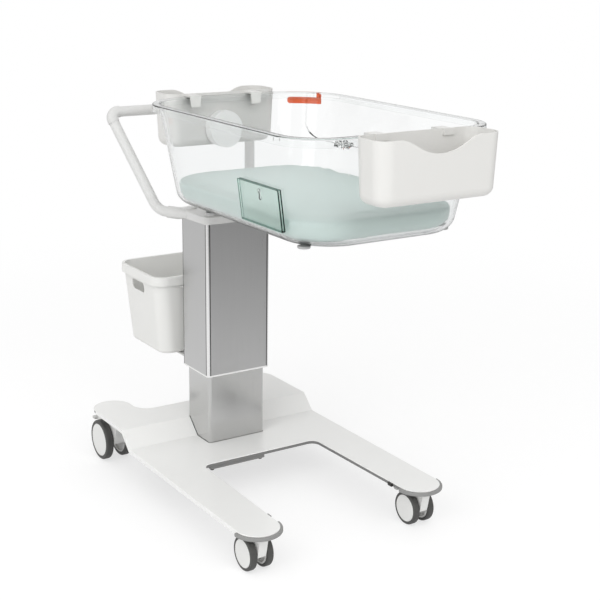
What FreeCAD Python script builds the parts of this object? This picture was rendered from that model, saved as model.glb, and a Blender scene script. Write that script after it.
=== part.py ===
import FreeCAD, Part
import math
import os

# Hospital bassinet: a clear tub with a mattress, two hanging trays and a drop-down side,
# carried by a height-adjustable column on a wheeled U-shaped base.
# Millimetres. +X points to the foot end, +Y is the drop-down side, +Z is up.
# Sizes below are measured from the column's axis; the whole model is moved along X at
# the end, so that the origin lies under the middle of the overall length.

V = FreeCAD.Vector
X_AXIS = V(1, 0, 0)
Y_AXIS = V(0, 1, 0)
Z_AXIS = V(0, 0, 1)

# ---------------------------------------------------------------- general clearances
seat_gap = 0.3            # between faces of different bodies that rest on each other
running_gap = 0.05        # radial, between a pin and the bore that turns on it
cut_margin = 50.0         # how far a trimming shape runs past what it trims

# ---------------------------------------------------------------- base
base_half_width = 263.0
deck_low = 100.0          # top of the cover between the legs and under the column's front
deck_high = 137.0         # top of the cover at the rear lobes
ramp_front_x = -7.0
ramp_rear_x = -47.0
cover_thickness = 2.0
cover_edge_radius = 1.2
cover_skirt_thickness = 3.0   # the edge that is turned down along the outer sides
leg_tip_x = 556.0
leg_inner_y_front = 165.0
leg_inner_y_rear = 157.0
leg_inner_corner_radius = 20.0
crossbar_front_x = 166.0
lobe_rear_x = -252.0
lobe_inner_y = 167.0
lobe_blend_radius = 42.0
notch_rear_x = -147.0
frame_thickness = 7.5
frame_inset = 1.2         # where the frame shows under the cover's inner edges
bumper_projection = 6.0
bumper_height = 8.5
bumper_lip = 1.0
socket_wall = 5.0
control_box_length = 138.0
control_box_width = 148.0
control_box_height = 12.0
control_box_centre_y = -57.0
control_box_setback = 9.0
screw_head_radius = 4.7
screw_head_height = 3.0
screw_margin = 8.0
clip_length = 14.0
clip_setback = 86.0       # of the cover's clip behind the leg's tip

# ---------------------------------------------------------------- casters
caster_inset = 48.0       # swivel axes inside the base's sides
rear_wheel_radius = 51.0
rear_wheel_width = 19.0
rear_wheel_spacing = 52.0
rear_swivel_x = -172.0
rear_trail = 44.0
front_wheel_radius = 38.5
front_wheel_width = 16.0
front_wheel_spacing = 40.0
front_swivel_x = 519.0
front_trail = 24.0
stem_radius = 7.0
stem_depth = 16.0
stem_flange_radius = 16.0
stem_flange_thickness = 6.0
stem_head_room = 0.5      # above the stem's end, in the caster's bore
axle_radius = 5.0
pedal_pin_radius = 2.5
pedal_side_gap = 0.6
pedal_slot_reach = 9.0    # of the pedal's slot ahead of its pin
pedal_slot_drop = 14.0    # of the slot's floor below the pin
pedal_thickness = 7.0
pedal_boss_radius = 4.5
hub_share = 0.82          # hub radius over wheel radius
housing_nose_share = 0.45 # hood's front, ahead of the swivel axis, over wheel radius
caster_head_margin = 4.0  # of the hood's round head outside the stem's flange
caster_head_height = 7.0

# ---------------------------------------------------------------- column
lower_tube_depth = 109.0  # along X
lower_tube_width = 154.0  # along Y
lower_tube_wall = 3.0
lower_tube_top = 505.0
tube_corner_radius = 7.0
sleeve_depth = 128.0
sleeve_width = 172.0
sleeve_wall = 3.0
sleeve_bottom = 276.0
sleeve_top = 648.0
sleeve_corner_radius = 8.0
strip_reach = 9.0         # how far a corner strip runs from the sleeve's corner
strip_thickness = 1.4
trim_height = 4.2
trim_overhang = 0.6
trim_gap = 0.8
gusset_length = 36.0
gusset_thickness = 6.0
glide_height = 40.0
glide_width = 46.0
cover_cut_gap = 1.2
motor_radius = 30.0
motor_height = 90.0
guide_radius = 19.0
guide_top = 490.0
lift_rod_radius = 12.5
lift_rod_gap = 0.3
lift_rod_engagement = 150.0
lift_rod_flange_radius = 24.0
lift_rod_flange_thickness = 6.0

# ---------------------------------------------------------------- top bracket, handle
bracket_thickness = 18.0
bracket_rear_x = -74.0
bracket_front_x = 68.0
bracket_half_width_front = 89.0
bracket_half_width_rear = 98.0
bracket_corner_radius = 14.0
bracket_bolt_x = 46.0
bracket_bolt_y = 67.0
bolt_head_radius = 13.0
bolt_head_height = 4.5
bolt_shank_radius = 4.0
handle_radius = 12.5
handle_wall = 2.0
handle_root_x = -50.0
handle_root_y = 101.0
handle_bend_x = -101.0
handle_bend_y = 128.5
handle_top_x = -216.5
handle_top_y = 196.8
handle_rise = 217.0       # handle's crossbar above the bracket plate
handle_bend_radius = 42.0   # of the lower bends
handle_corner_radius = 18.0   # of the crossbar's corners
elbow_radius = 14.0
elbow_reach = 27.0        # from the corner along each tube
socket_radius = 14.5
socket_mouth_x = -74.0
socket_foot_x = -14.0
socket_foot_radius = 9.0

# ---------------------------------------------------------------- tilt joint, cradle
tilt_x = 20.0
tilt_height = 24.0        # above the bracket plate
tilt_pin_radius = 7.0
ear_radius = 17.0
ear_inner_y = 40.0
ear_thickness = 10.0
lug_gap = 1.5
lug_thickness = 8.0
cradle_rear_x = -12.0
cradle_front_x = 560.0
cradle_half_width = 100.0
cradle_sheet = 3.0
cradle_flange_height = 14.0

# ---------------------------------------------------------------- tub
tub_stand_off = 54.0      # tub's foot above the bracket plate
tub_height = 219.0
tub_wall = 4.0
tub_floor = 4.5
tub_rear_bottom_x = 51.7
tub_front_bottom_x = 675.7
tub_half_width_bottom = 199.3
tub_rear_top_x = 19.0
tub_front_top_x = 690.0
tub_half_width_top = 229.0
tub_rear_radius = 122.0
tub_front_radius = 83.0   # at the rim
tub_front_radius_low = 118.0
tub_bottom_radius = 35.0
lip_reach = 14.0
lip_height = 17.0
lip_thickness = 3.2
tub_foot_radius = 13.0
tub_foot_height = 4.5
tub_foot_x = (241.0, 605.0)
tub_foot_y = 170.0

# ---------------------------------------------------------------- drop-down side and latch
door_depth = 107.0        # hinge axis below the rim
door_rear_x = 57.0        # at the rim; the door's ends lean like the tub's end walls
door_front_x = 672.0
door_corner_radius = 45.0
door_gap = 1.4
door_inner_y = 150.0      # the panel reaches round the tub's corners to here
hinge_offset = 7.0        # hinge axis outside the wall's face
hinge_pin_radius = 2.0
hinge_knuckle_radius = 4.6
hinge_x = (180.0, 545.0)
hinge_knuckle_length = 16.0
hinge_knuckle_gap = 0.5
latch_height = 15.0
latch_thickness = 6.0
latch_drop = 14.0         # latch top below the rim
latch_rear_angle = 156.0  # degrees round the tub's rear corner
latch_front_angle = 122.0
latch_tab_angle = 4.2
latch_tab_drop = 1.0      # tab's top below the rim
latch_end_radius = 6.0
latch_tab_radius = 4.0
latch_gap = 0.6
latch_turn = 27.0         # how far the latch slides round the corner
latch_key_angle = 2.4
latch_key_height = 4.0
latch_key_head = 2.0
latch_key_drop = 9.0      # key's middle below the rim
latch_key_gap = 0.4

# ---------------------------------------------------------------- mattress
mattress_thickness = 50.0
mattress_gap = 4.5
mattress_foot_gap = 17.0  # at the foot end
mattress_foot_corner = 88.0
mattress_edge_radius = 9.0
mattress_under_radius = 26.0

# ---------------------------------------------------------------- trays
tray_rise = 5.0           # tray's top above the tub's rim
tray_height = 124.0
tray_depth = 92.0
tray_half_width = 144.5
tray_draft_back = 3.0     # how far each wall leans in towards the bottom
tray_draft_front = 2.0
tray_draft_side = 5.0
tray_corner_radius = 30.0
tray_bottom_radius = 20.0
tray_wall = 3.0
tray_rim_gap = 6.0
foot_tray_shift = 6.0     # the foot end's tray hangs a little off the middle
scallop_centre_y = -4.0
scallop_half_width = 96.0
scallop_depth = 30.0
hook_y = 80.0
head_hook_shift = 13.0    # the head end's hooks sit a little off the tray's middle
hook_half_width = 14.0
hook_taper = 2.5
hook_thickness = 3.6
hook_depth = 26.0
hook_wall_gap = 4.2       # room for the leaning wall beside a hook's tongue
hook_root = 4.0           # the hook's thickening inside the tray
hook_root_drop = 8.0
spacer_radius = 42.0
spacer_y = 8.0
spacer_drop = 83.0        # disc's middle below the tray's top
spacer_gap = 6.5          # room to lift the tray along the leaning end wall

# ---------------------------------------------------------------- storage bin
bin_rim = 490.0
bin_bottom = 288.0
bin_front_x = -91.0
bin_rear_x = -304.0
bin_half_width = 140.0
bin_draft = 18.0
bin_draft_front = 10.0
bin_corner_radius = 34.0
bin_bottom_radius = 10.0
bin_wall = 2.5
bin_rim_reach = 5.0
bin_rim_height = 22.0
bin_rim_wall = 2.0
bin_rim_top = 3.0
hand_hole_length = 66.0
hand_hole_height = 26.0
hand_hole_radius = 8.0
hand_hole_drop = 8.0
bracket_sheet = 3.0
bin_bracket_half_width = 75.0
bin_shelf_reach = 75.0
bin_hook_sheet = 2.0

# ---------------------------------------------------------------- card holder
card_holder_length = 152.0
card_holder_height = 84.0
card_holder_x = 439.0
card_holder_rise = 28.0   # holder's foot above the tub's foot
card_sheet = 2.5
card_slot = 3.0
card_holder_gap = 0.3
stud_radius = 3.0
stud_head_radius = 4.6
stud_head_thickness = 1.8
stud_drop = 13.0
keyhole_travel = 15.0
keyhole_gap = 0.4

# ---------------------------------------------------------------- derived places
bracket_top = sleeve_top + bracket_thickness
handle_top_z = bracket_top + handle_rise
tilt_z = bracket_top + tilt_height
tub_bottom = bracket_top + tub_stand_off
tub_rim = tub_bottom + tub_height
door_sill = tub_rim - door_depth
tray_top = tub_rim + tray_rise
spacer_z = tray_top - spacer_drop
card_holder_z = tub_bottom + card_holder_rise
caster_track = base_half_width - caster_inset
clip_x = leg_tip_x - clip_setback
lip_rear_x = tub_rear_top_x - lip_reach
lip_front_x = tub_front_top_x + lip_reach
lip_half_width = tub_half_width_top + lip_reach
lip_rear_radius = tub_rear_radius + lip_reach
lip_front_radius = tub_front_radius + lip_reach
front_face_x = lip_front_x + tray_rim_gap + tray_depth
rear_face_x = bin_rear_x - bin_rim_reach
origin_shift = -(front_face_x + rear_face_x) / 2.0
side_draft = math.atan2(tub_half_width_top - tub_half_width_bottom, tub_height)
ramp_angle = math.atan2(deck_high - deck_low, ramp_front_x - ramp_rear_x)
frame_top_low = deck_low - cover_thickness
frame_bottom_low = frame_top_low - frame_thickness
frame_bottom_high = deck_high - cover_thickness - frame_thickness
lobe_radius = (base_half_width - lobe_inner_y) / 2.0
leg_tip_radius = (base_half_width - leg_inner_y_front) / 2.0


# ---------------------------------------------------------------- shared shapes
def box(x0, x1, y0, y1, z0, z1):
    """A block between two corners."""
    return Part.makeBox(x1 - x0, y1 - y0, z1 - z0, V(x0, y0, z0))


def cylinder(radius, length, start, axis=Z_AXIS):
    """A round bar from its start point along an axis."""
    return Part.makeCylinder(radius, length, start, axis)


def mirrored(shape):
    """The same shape on the other side of the model's middle plane."""
    return shape.mirror(V(0, 0, 0), Y_AXIS)


def both_sides(shape):
    """A shape and its mirror image, as separate solids."""
    return Part.Compound([shape, mirrored(shape)])


def rounded_outline(x_rear, x_front, half_width, r_rear, r_front, z):
    """A closed outline in plan, with round corners, symmetric about the middle plane."""
    c = math.sqrt(0.5)
    a = V(x_front - r_front, half_width - r_front, z)
    b = V(x_rear + r_rear, half_width - r_rear, z)
    points = [
        (a, r_front, 1, 0, 0, 1),
        (b, r_rear, 0, 1, -1, 0),
        (V(b.x, -b.y, z), r_rear, -1, 0, 0, -1),
        (V(a.x, -a.y, z), r_front, 0, -1, 1, 0),
    ]
    arcs = []
    for centre, r, sx, sy, ex, ey in points:
        start = centre + V(sx * r, sy * r, 0)
        end = centre + V(ex * r, ey * r, 0)
        middle = centre + V((sx + ex) * r * c, (sy + ey) * r * c, 0)
        arcs.append(Part.Arc(start, middle, end).toShape())
    edges = []
    for i, arc in enumerate(arcs):
        following = arcs[(i + 1) % 4]
        edges.append(arc)
        edges.append(Part.makeLine(arc.Vertexes[-1].Point, following.Vertexes[0].Point))
    return Part.Wire(edges)


def rounded_block(x_rear, x_front, half_width, r_rear, r_front, z0, z1):
    """An upright block on a rounded outline."""
    outline = rounded_outline(x_rear, x_front, half_width, r_rear, r_front, z0)
    return Part.Face(outline).extrude(V(0, 0, z1 - z0))


def drafted_block(lower, upper):
    """A block whose rounded outline changes evenly from its lower to its upper level."""
    return Part.makeLoft([rounded_outline(*lower), rounded_outline(*upper)], True, True)


def bottom_edges(shape, z):
    """The edges that lie at a level."""
    return [e for e in shape.Edges if abs(e.BoundBox.ZMin - z) < 0.01 and abs(e.BoundBox.ZMax - z) < 0.01]


def side_prism(points, y0, y1):
    """A prism across the model on an outline in the XZ plane, between two Y values."""
    outline = Part.makePolygon([V(x, y0, z) for x, z in points] + [V(points[0][0], y0, points[0][1])])
    return Part.Face(outline).extrude(V(0, y1 - y0, 0))


def turned(shape, angle, centre, axis):
    """A copy of a shape, turned about an axis."""
    copy = shape.copy()
    copy.rotate(centre, axis, angle)
    return copy


# ---------------------------------------------------------------- base sheets
def base_outline(inset, z):
    """The base in plan: two front legs with round tips, a crossbar and two rear lobes."""
    def half(sign):
        tip_y = (base_half_width + leg_inner_y_front) / 2.0
        lobe_y = (base_half_width + lobe_inner_y) / 2.0
        tip_r = leg_tip_radius - inset
        lobe_r = lobe_radius - inset
        tip_x = leg_tip_x - leg_tip_radius
        lobe_x = lobe_rear_x + lobe_radius
        blend = lobe_blend_radius + inset
        blend_x = notch_rear_x + inset - blend
        blend_y = lobe_inner_y + inset - blend
        corner = leg_inner_corner_radius + inset
        corner_x = crossbar_front_x - inset + corner
        corner_y = leg_inner_y_rear + inset - corner
        c = math.sqrt(0.5)
        leg_inner_end = V(tip_x, sign * (tip_y - tip_r), z)
        corner_end = V(corner_x, sign * (corner_y + corner), z)
        corner_start = V(corner_x - corner, sign * corner_y, z)
        corner_middle = V(corner_x - corner * c, sign * (corner_y + corner * c), z)
        tip_outer = V(tip_x, sign * (tip_y + tip_r), z)
        lobe_outer = V(lobe_x, sign * (lobe_y + lobe_r), z)
        lobe_inner = V(lobe_x, sign * (lobe_y - lobe_r), z)
        blend_end = V(blend_x, sign * (blend_y + blend), z)
        blend_start = V(blend_x + blend, sign * blend_y, z)
        blend_middle = V(blend_x + blend * c, sign * (blend_y + blend * c), z)
        return [
            Part.Arc(corner_start, corner_middle, corner_end).toShape(),
            Part.makeLine(corner_end, leg_inner_end),
            Part.Arc(leg_inner_end, V(tip_x + tip_r, sign * tip_y, z), tip_outer).toShape(),
            Part.makeLine(tip_outer, lobe_outer),
            Part.Arc(lobe_outer, V(lobe_x - lobe_r, sign * lobe_y, z), lobe_inner).toShape(),
            Part.makeLine(lobe_inner, blend_end),
            Part.Arc(blend_end, blend_middle, blend_start).toShape(),
        ], corner_start, blend_start
    left, left_front, left_rear = half(1)
    right, right_front, right_rear = half(-1)
    edges = left + right
    edges.append(Part.makeLine(left_front, right_front))
    edges.append(Part.makeLine(left_rear, right_rear))
    return Part.Wire(Part.__sortEdges__(edges))


def bent_sheet(inset, depth, thickness):
    """A sheet on the base's outline that follows the ramp, a depth below the cover's top."""
    reach = base_half_width + cut_margin
    shift = math.tan(ramp_angle / 2.0)

    def level(d):
        return [
            (lobe_rear_x - cut_margin, deck_high - d),
            (ramp_rear_x - d * shift, deck_high - d),
            (ramp_front_x - d * shift, deck_low - d),
            (leg_tip_x + cut_margin, deck_low - d),
        ]
    profile = level(depth) + level(depth + thickness)[::-1]
    slab = side_prism(profile, -reach, reach)
    plan = Part.Face(base_outline(inset, 0.0)).extrude(V(0, 0, deck_high + cut_margin))
    return slab.common(plan)


def column_hole(gap, z0, z1):
    """The space that the lower tube takes up in the base, with a gap round it."""
    return rounded_block(
        -lower_tube_depth / 2.0 - gap, lower_tube_depth / 2.0 + gap,
        lower_tube_width / 2.0 + gap, tube_corner_radius + gap, tube_corner_radius + gap, z0, z1,
    )


def base_cover():
    """The smooth bent cover over the whole base, turned down along its outer sides."""
    sheet = bent_sheet(0.0, 0.0, cover_thickness)
    sheet = sheet.cut(column_hole(cover_cut_gap, 0.0, deck_high + 10.0))
    flat_top = [
        e for e in sheet.Edges
        if abs(e.BoundBox.ZMin - deck_low) < 0.01 and abs(e.BoundBox.ZMax - deck_low) < 0.01
        and e.BoundBox.XMax > ramp_front_x + 60.0
    ]
    return sheet.makeFillet(cover_edge_radius, flat_top).fuse(cover_skirt()).removeSplitter()


def cover_skirt():
    """The cover's turned-down edge outside the frame, from the rear lobes to the leg tips."""
    ring = bent_sheet(0.0, cover_thickness, frame_thickness)
    ring = ring.cut(bent_sheet(cover_skirt_thickness, cover_thickness, frame_thickness))
    tip_x = leg_tip_x - leg_tip_radius
    end_x = lobe_rear_x + lobe_radius
    low = frame_bottom_low
    outer_side = box(end_x, tip_x, leg_middle_y(), base_half_width, low, deck_high)
    return ring.common(outer_side.fuse(mirrored(outer_side)))


def base_frame():
    """The steel sheet frame under the cover, with the socket that the column stands in."""
    frame = bent_sheet(frame_inset, cover_thickness, frame_thickness).cut(cover_skirt())
    socket_bottom = frame_bottom_low - frame_thickness
    socket = column_hole(socket_wall, socket_bottom, frame_bottom_high)
    ramp_side = bent_sheet(0.0, cover_thickness, frame_thickness + 100.0)
    frame = frame.fuse(socket.common(ramp_side))
    frame = frame.cut(column_hole(0.0, frame_bottom_low, deck_high + 10.0))
    for x, bottom in caster_seats():
        for side in (-1, 1):
            hole = cylinder(stem_radius, frame_thickness + 2.0, V(x, side * caster_track, bottom - 1.0))
            frame = frame.cut(hole)
    return frame.removeSplitter()


def caster_seats():
    """X place and level of the frame's underside where the casters are fixed."""
    return [(rear_swivel_x, frame_bottom_high), (front_swivel_x, frame_bottom_low)]


def leg_bumpers():
    """The soft half rings that guard the tips of the front legs."""
    top = frame_top_low
    outer = leg_tip_radius + bumper_projection
    centre = V(leg_tip_x - leg_tip_radius, leg_middle_y(), top - bumper_height)
    ring = cylinder(outer, bumper_height, centre)
    ring = ring.makeFillet(2.0, [e for e in ring.Edges if e.Curve.TypeId == "Part::GeomCircle"])
    ring = ring.cut(cylinder(leg_tip_radius - bumper_lip, bumper_height, centre))
    seat_low = V(centre.x, centre.y, frame_bottom_low)
    seat = cylinder(outer - bumper_lip, frame_thickness, seat_low)
    seat = seat.cut(cylinder(leg_tip_radius - frame_inset, frame_thickness, seat_low))
    half = box(centre.x, centre.x + 2 * outer, centre.y - 2 * outer, centre.y + 2 * outer, 0.0, top)
    return both_sides(ring.fuse(seat).common(half).removeSplitter())


def leg_middle_y():
    """The middle of a front leg at its tip."""
    return (base_half_width + leg_inner_y_front) / 2.0


def control_box_corners():
    """The control box's sides in plan and its bottom level."""
    front = crossbar_front_x - control_box_setback
    return (
        front - control_box_length, front,
        control_box_centre_y - control_box_width / 2.0, control_box_centre_y + control_box_width / 2.0,
        frame_bottom_low - control_box_height,
    )


def control_box():
    """The flat box of the lift's electronics under the crossbar."""
    x0, x1, y0, y1, z0 = control_box_corners()
    block = box(x0, x1, y0, y1, z0, frame_bottom_low)
    block = block.makeFillet(2.0, bottom_edges(block, z0))
    socket = column_hole(socket_wall + seat_gap, 0.0, deck_low)
    return block.cut(socket)


def base_fasteners():
    """Round screw heads under the control box, and the clips that hold the cover."""
    x0, x1, y0, y1, z0 = control_box_corners()
    heads = []
    for x in (x1 - screw_margin, lower_tube_depth / 2.0 + socket_wall + screw_margin):
        for y in (y0 + screw_margin, y1 - screw_margin):
            heads.append(cylinder(screw_head_radius, screw_head_height, V(x, y, z0 - screw_head_height)))
    inner = leg_inner_y_at(clip_x) + frame_inset
    clip = box(clip_x - clip_length / 2.0, clip_x + clip_length / 2.0, inner - 5.0, inner - 0.2,
               frame_bottom_low, frame_top_low)
    return Part.Compound(heads + [clip, mirrored(clip)])


def leg_inner_y_at(x):
    """Inner edge of a front leg at a place along it."""
    start = crossbar_front_x + leg_inner_corner_radius
    share = (x - start) / (leg_tip_x - leg_tip_radius - start)
    return leg_inner_y_rear + share * (leg_inner_y_front - leg_inner_y_rear)


# ---------------------------------------------------------------- casters
def caster_stems():
    """The bolts that the casters turn on, each with the washer that it bears on."""
    stems = []
    for x, bottom in caster_seats():
        for side in (-1, 1):
            y = side * caster_track
            shank = cylinder(stem_radius, frame_thickness + stem_depth, V(x, y, bottom - stem_depth))
            flange_low = V(x, y, bottom - stem_flange_thickness)
            flange = cylinder(stem_flange_radius, stem_flange_thickness, flange_low)
            stems.append(shank.fuse(flange).removeSplitter())
    return Part.Compound(stems)


def caster_housing(swivel_x, y, top, radius, spacing, width, trail):
    """The hood between the two wheels: swivel head, axle web and the fork for the brake pedal."""
    inner = spacing - width
    half = inner / 2.0 - 1.5
    axle_x = swivel_x - trail
    axle_z = radius
    r = radius
    side = [
        (axle_x - 0.86 * r, top - 3.0),
        (axle_x - 0.92 * r, axle_z + 0.62 * r),
        (axle_x - 0.30 * r, axle_z - 0.10 * r),
        (axle_x + 0.10 * r, axle_z - 0.26 * r),
        (axle_x + 0.86 * r, axle_z - 0.04 * r),
        (swivel_x + housing_nose_share * r, top - 10.0),
        (swivel_x + housing_nose_share * r, top),
        (axle_x - 0.70 * r, top),
    ]
    web = side_prism(side, y - half, y + half)
    web = web.makeFillet(3.0, [e for e in web.Edges if e.BoundBox.YLength > 2 * half - 0.1])
    head = cylinder(stem_flange_radius + caster_head_margin, caster_head_height,
                    V(swivel_x, y, top - caster_head_height))
    housing = web.fuse(head)
    stem_low = V(swivel_x, y, top - stem_depth + stem_flange_thickness - stem_head_room)
    housing = housing.cut(cylinder(stem_radius + running_gap, stem_depth, stem_low))
    housing = housing.cut(cylinder(axle_radius, 2 * half + 2.0, V(axle_x, y - half - 1.0, axle_z), Y_AXIS))
    px, pz = pedal_pivot(axle_x, axle_z, r)
    slot_half = pedal_arm_half(half) + pedal_side_gap
    slot = box(axle_x - 2.0 * r, px + pedal_slot_reach, y - slot_half, y + slot_half,
               pz - pedal_slot_drop, top + 1.0)
    pin = cylinder(pedal_pin_radius, 2 * half, V(px, y - half, pz), Y_AXIS)
    return housing.cut(slot).fuse(pin).removeSplitter()


def pedal_arm_half(half):
    """Half the width of the brake pedal's arm."""
    return half - 4.5


def pedal_pivot(axle_x, axle_z, r):
    """Where the brake pedal turns."""
    return axle_x - 0.62 * r, axle_z + 0.68 * r


def caster_pedal(swivel_x, y, radius, spacing, width, trail):
    """The brake pedal: an arm on its pin, and a pad that stands out behind the wheels."""
    half = (spacing - width) / 2.0 - 1.5
    arm_half = pedal_arm_half(half)
    axle_x = swivel_x - trail
    px, pz = pedal_pivot(axle_x, radius, radius)
    pad_x = axle_x - 1.40 * radius
    pad_z = radius + 0.66 * radius
    low = pad_z - pedal_thickness / 2.0
    high = pad_z + pedal_thickness / 2.0
    arm = side_prism([(px, pz - pedal_boss_radius), (px, pz + pedal_boss_radius), (pad_x, high), (pad_x, low)],
                     y - arm_half, y + arm_half)
    arm = arm.fuse(cylinder(pedal_boss_radius, 2 * arm_half, V(px, y - arm_half, pz), Y_AXIS))
    pad_half = 0.8 * half + 5.0
    pad = box(pad_x - 8.0, pad_x + 0.16 * radius, y - pad_half, y + pad_half, low, high)
    pad = pad.makeFillet(3.0, [e for e in pad.Edges if e.BoundBox.YLength > half])
    pedal = arm.fuse(pad)
    bore = cylinder(pedal_pin_radius + running_gap, 2 * half, V(px, y - half, pz), Y_AXIS)
    return pedal.cut(bore).removeSplitter()


def caster_axle(swivel_x, y, radius, spacing, width, trail):
    """The fixed axle through the housing, with an end in each wheel."""
    length = spacing + width - 6.0
    return cylinder(axle_radius, length, V(swivel_x - trail, y - length / 2.0, radius), Y_AXIS)


def wheel_tyre(x, y, radius, width):
    """The soft tread of one wheel."""
    hub_radius = radius * hub_share
    tyre = cylinder(radius, width, V(x, y - width / 2.0, radius), Y_AXIS)
    tyre = tyre.makeFillet(width * 0.24, [e for e in tyre.Edges if e.Curve.TypeId == "Part::GeomCircle"])
    return tyre.cut(cylinder(hub_radius, width + 2.0, V(x, y - width / 2.0 - 1.0, radius), Y_AXIS))


def wheel_hub(x, y, radius, width, outward):
    """The plain disc of one wheel, dished inside and flat outside, with a blind bore."""
    hub_radius = radius * hub_share
    hub = cylinder(hub_radius, width, V(x, y - width / 2.0, radius), Y_AXIS)
    hub = hub.makeFillet(1.5, [e for e in hub.Edges if e.Curve.TypeId == "Part::GeomCircle"])
    inner_face = y - outward * width / 2.0
    bore_depth = width - 2.5
    start = V(x, inner_face - outward * 0.5, radius)
    hub = hub.cut(cylinder(axle_radius + running_gap, bore_depth + 0.5, start, Y_AXIS * outward))
    groove = cylinder(hub_radius - 4.0, 5.5, start, Y_AXIS * outward)
    groove = groove.cut(cylinder(axle_radius + 6.0, 5.5, start, Y_AXIS * outward))
    return hub.cut(groove)


def casters():
    """All four casters, as {node name: shape}."""
    nodes = {}
    kinds = [
        ("rear", rear_swivel_x, frame_bottom_high, rear_wheel_radius, rear_wheel_spacing, rear_wheel_width,
         rear_trail),
        ("front", front_swivel_x, frame_bottom_low, front_wheel_radius, front_wheel_spacing, front_wheel_width,
         front_trail),
    ]
    for end, swivel_x, seat, radius, spacing, width, trail in kinds:
        top = seat - stem_flange_thickness - seat_gap
        for hand, side in (("left", 1), ("right", -1)):
            name = end + "_" + hand + "_caster_"
            y = side * caster_track
            axle_x = swivel_x - trail
            nodes[name + "housing"] = caster_housing(swivel_x, y, top, radius, spacing, width, trail)
            nodes[name + "axle"] = caster_axle(swivel_x, y, radius, spacing, width, trail)
            nodes[name + "brake_pedal"] = caster_pedal(swivel_x, y, radius, spacing, width, trail)
            for place, outward in (("outer", side), ("inner", -side)):
                wheel_y = y + outward * spacing / 2.0
                nodes[name + place + "_tyre"] = wheel_tyre(axle_x, wheel_y, radius, width)
                nodes[name + place + "_hub"] = wheel_hub(axle_x, wheel_y, radius, width, outward)
    return nodes


# ---------------------------------------------------------------- column
def upright_tube(depth, width, radius, wall, z0, z1):
    """A rounded rectangular tube."""
    outer = rounded_block(-depth / 2.0, depth / 2.0, width / 2.0, radius, radius, z0, z1)
    inner_r = max(radius - wall, 1.0)
    inner = rounded_block(-depth / 2.0 + wall, depth / 2.0 - wall, width / 2.0 - wall, inner_r, inner_r, z0, z1)
    return outer.cut(inner)


def lower_tube():
    """The fixed steel tube of the column."""
    return upright_tube(lower_tube_depth, lower_tube_width, tube_corner_radius, lower_tube_wall,
                        frame_bottom_low, lower_tube_top)


def tube_glides():
    """Plastic pads on the lower tube's head, which the sleeve runs on."""
    z0 = lower_tube_top - glide_height
    gap_x = (sleeve_depth - lower_tube_depth) / 2.0 - sleeve_wall - seat_gap
    gap_y = (sleeve_width - lower_tube_width) / 2.0 - sleeve_wall - seat_gap
    pads = []
    for side in (-1, 1):
        x0 = side * lower_tube_depth / 2.0
        x1 = x0 + side * gap_x
        pads.append(box(min(x0, x1), max(x0, x1), -glide_width / 2.0, glide_width / 2.0, z0, lower_tube_top))
        y0 = side * lower_tube_width / 2.0
        y1 = y0 + side * gap_y
        pads.append(box(-glide_width / 2.0, glide_width / 2.0, min(y0, y1), max(y0, y1), z0, lower_tube_top))
    return Part.Compound(pads)


def lift_motor():
    """The lift's motor block and guide tube, which stand in the column's socket."""
    base = frame_bottom_low
    block = cylinder(motor_radius, motor_height, V(0, 0, base))
    block = block.fuse(cylinder(guide_radius, guide_top - base, V(0, 0, base)))
    bore_start = sleeve_top - lift_rod_flange_thickness - guide_reach()
    return block.cut(cylinder(lift_rod_radius + lift_rod_gap, guide_top - bore_start, V(0, 0, bore_start)))


def guide_reach():
    """How far below the top bracket the guide tube's bore goes."""
    return (sleeve_top - guide_top) + lift_rod_engagement + column_travel_down() + 10.0


def column_travel_down():
    """Room for the column to come down, from the guide tube's top to the rod's flange."""
    return sleeve_top - lift_rod_flange_thickness - guide_top - 20.0


def lift_rod():
    """The rod that the motor drives up and down, with the flange under the top bracket."""
    bottom = guide_top - lift_rod_engagement
    rod = cylinder(lift_rod_radius, sleeve_top - bottom, V(0, 0, bottom))
    flange = cylinder(lift_rod_flange_radius, lift_rod_flange_thickness,
                      V(0, 0, sleeve_top - lift_rod_flange_thickness))
    return rod.fuse(flange).removeSplitter()


def corner_strip_volume():
    """The skin at the sleeve's four corners that the bright strips fill."""
    skin = upright_tube(sleeve_depth, sleeve_width, sleeve_corner_radius, strip_thickness, sleeve_bottom,
                        sleeve_top)
    corners = []
    for sx in (-1, 1):
        for sy in (-1, 1):
            x = sx * (sleeve_depth / 2.0 - strip_reach)
            y = sy * (sleeve_width / 2.0 - strip_reach)
            far_x = sx * sleeve_depth
            far_y = sy * sleeve_width
            corner = box(min(x, far_x), max(x, far_x), min(y, far_y), max(y, far_y), sleeve_bottom, sleeve_top)
            corners.append(skin.common(corner).Solids[0])
    return corners


def column_sleeve():
    """The outer tube of the column, which slides on the lower one, with gussets for the bracket's bolts."""
    tube = upright_tube(sleeve_depth, sleeve_width, sleeve_corner_radius, sleeve_wall, sleeve_bottom,
                        sleeve_top)
    inner_x = sleeve_depth / 2.0 - sleeve_wall
    inner_y = sleeve_width / 2.0 - sleeve_wall
    gusset = box(inner_x - gusset_length, inner_x + 0.5, inner_y - gusset_length, inner_y + 0.5,
                 sleeve_top - gusset_thickness, sleeve_top)
    for copy in four_corners(gusset):
        tube = tube.fuse(copy)
    for strip in corner_strip_volume():
        tube = tube.cut(strip)
    return tube.cut(bracket_bolt_shanks()).removeSplitter()


def four_corners(shape):
    """A shape and its mirror images in both upright middle planes of the column."""
    row = [shape, shape.mirror(V(0, 0, 0), X_AXIS)]
    return row + [mirrored(s) for s in row]


def bracket_bolt_shanks():
    """The shanks of the four bolts that hold the top bracket."""
    bottom = sleeve_top - gusset_thickness - 2.0
    shank = cylinder(bolt_shank_radius, bracket_top - bottom, V(bracket_bolt_x, bracket_bolt_y, bottom))
    return Part.Compound(four_corners(shank))


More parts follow.
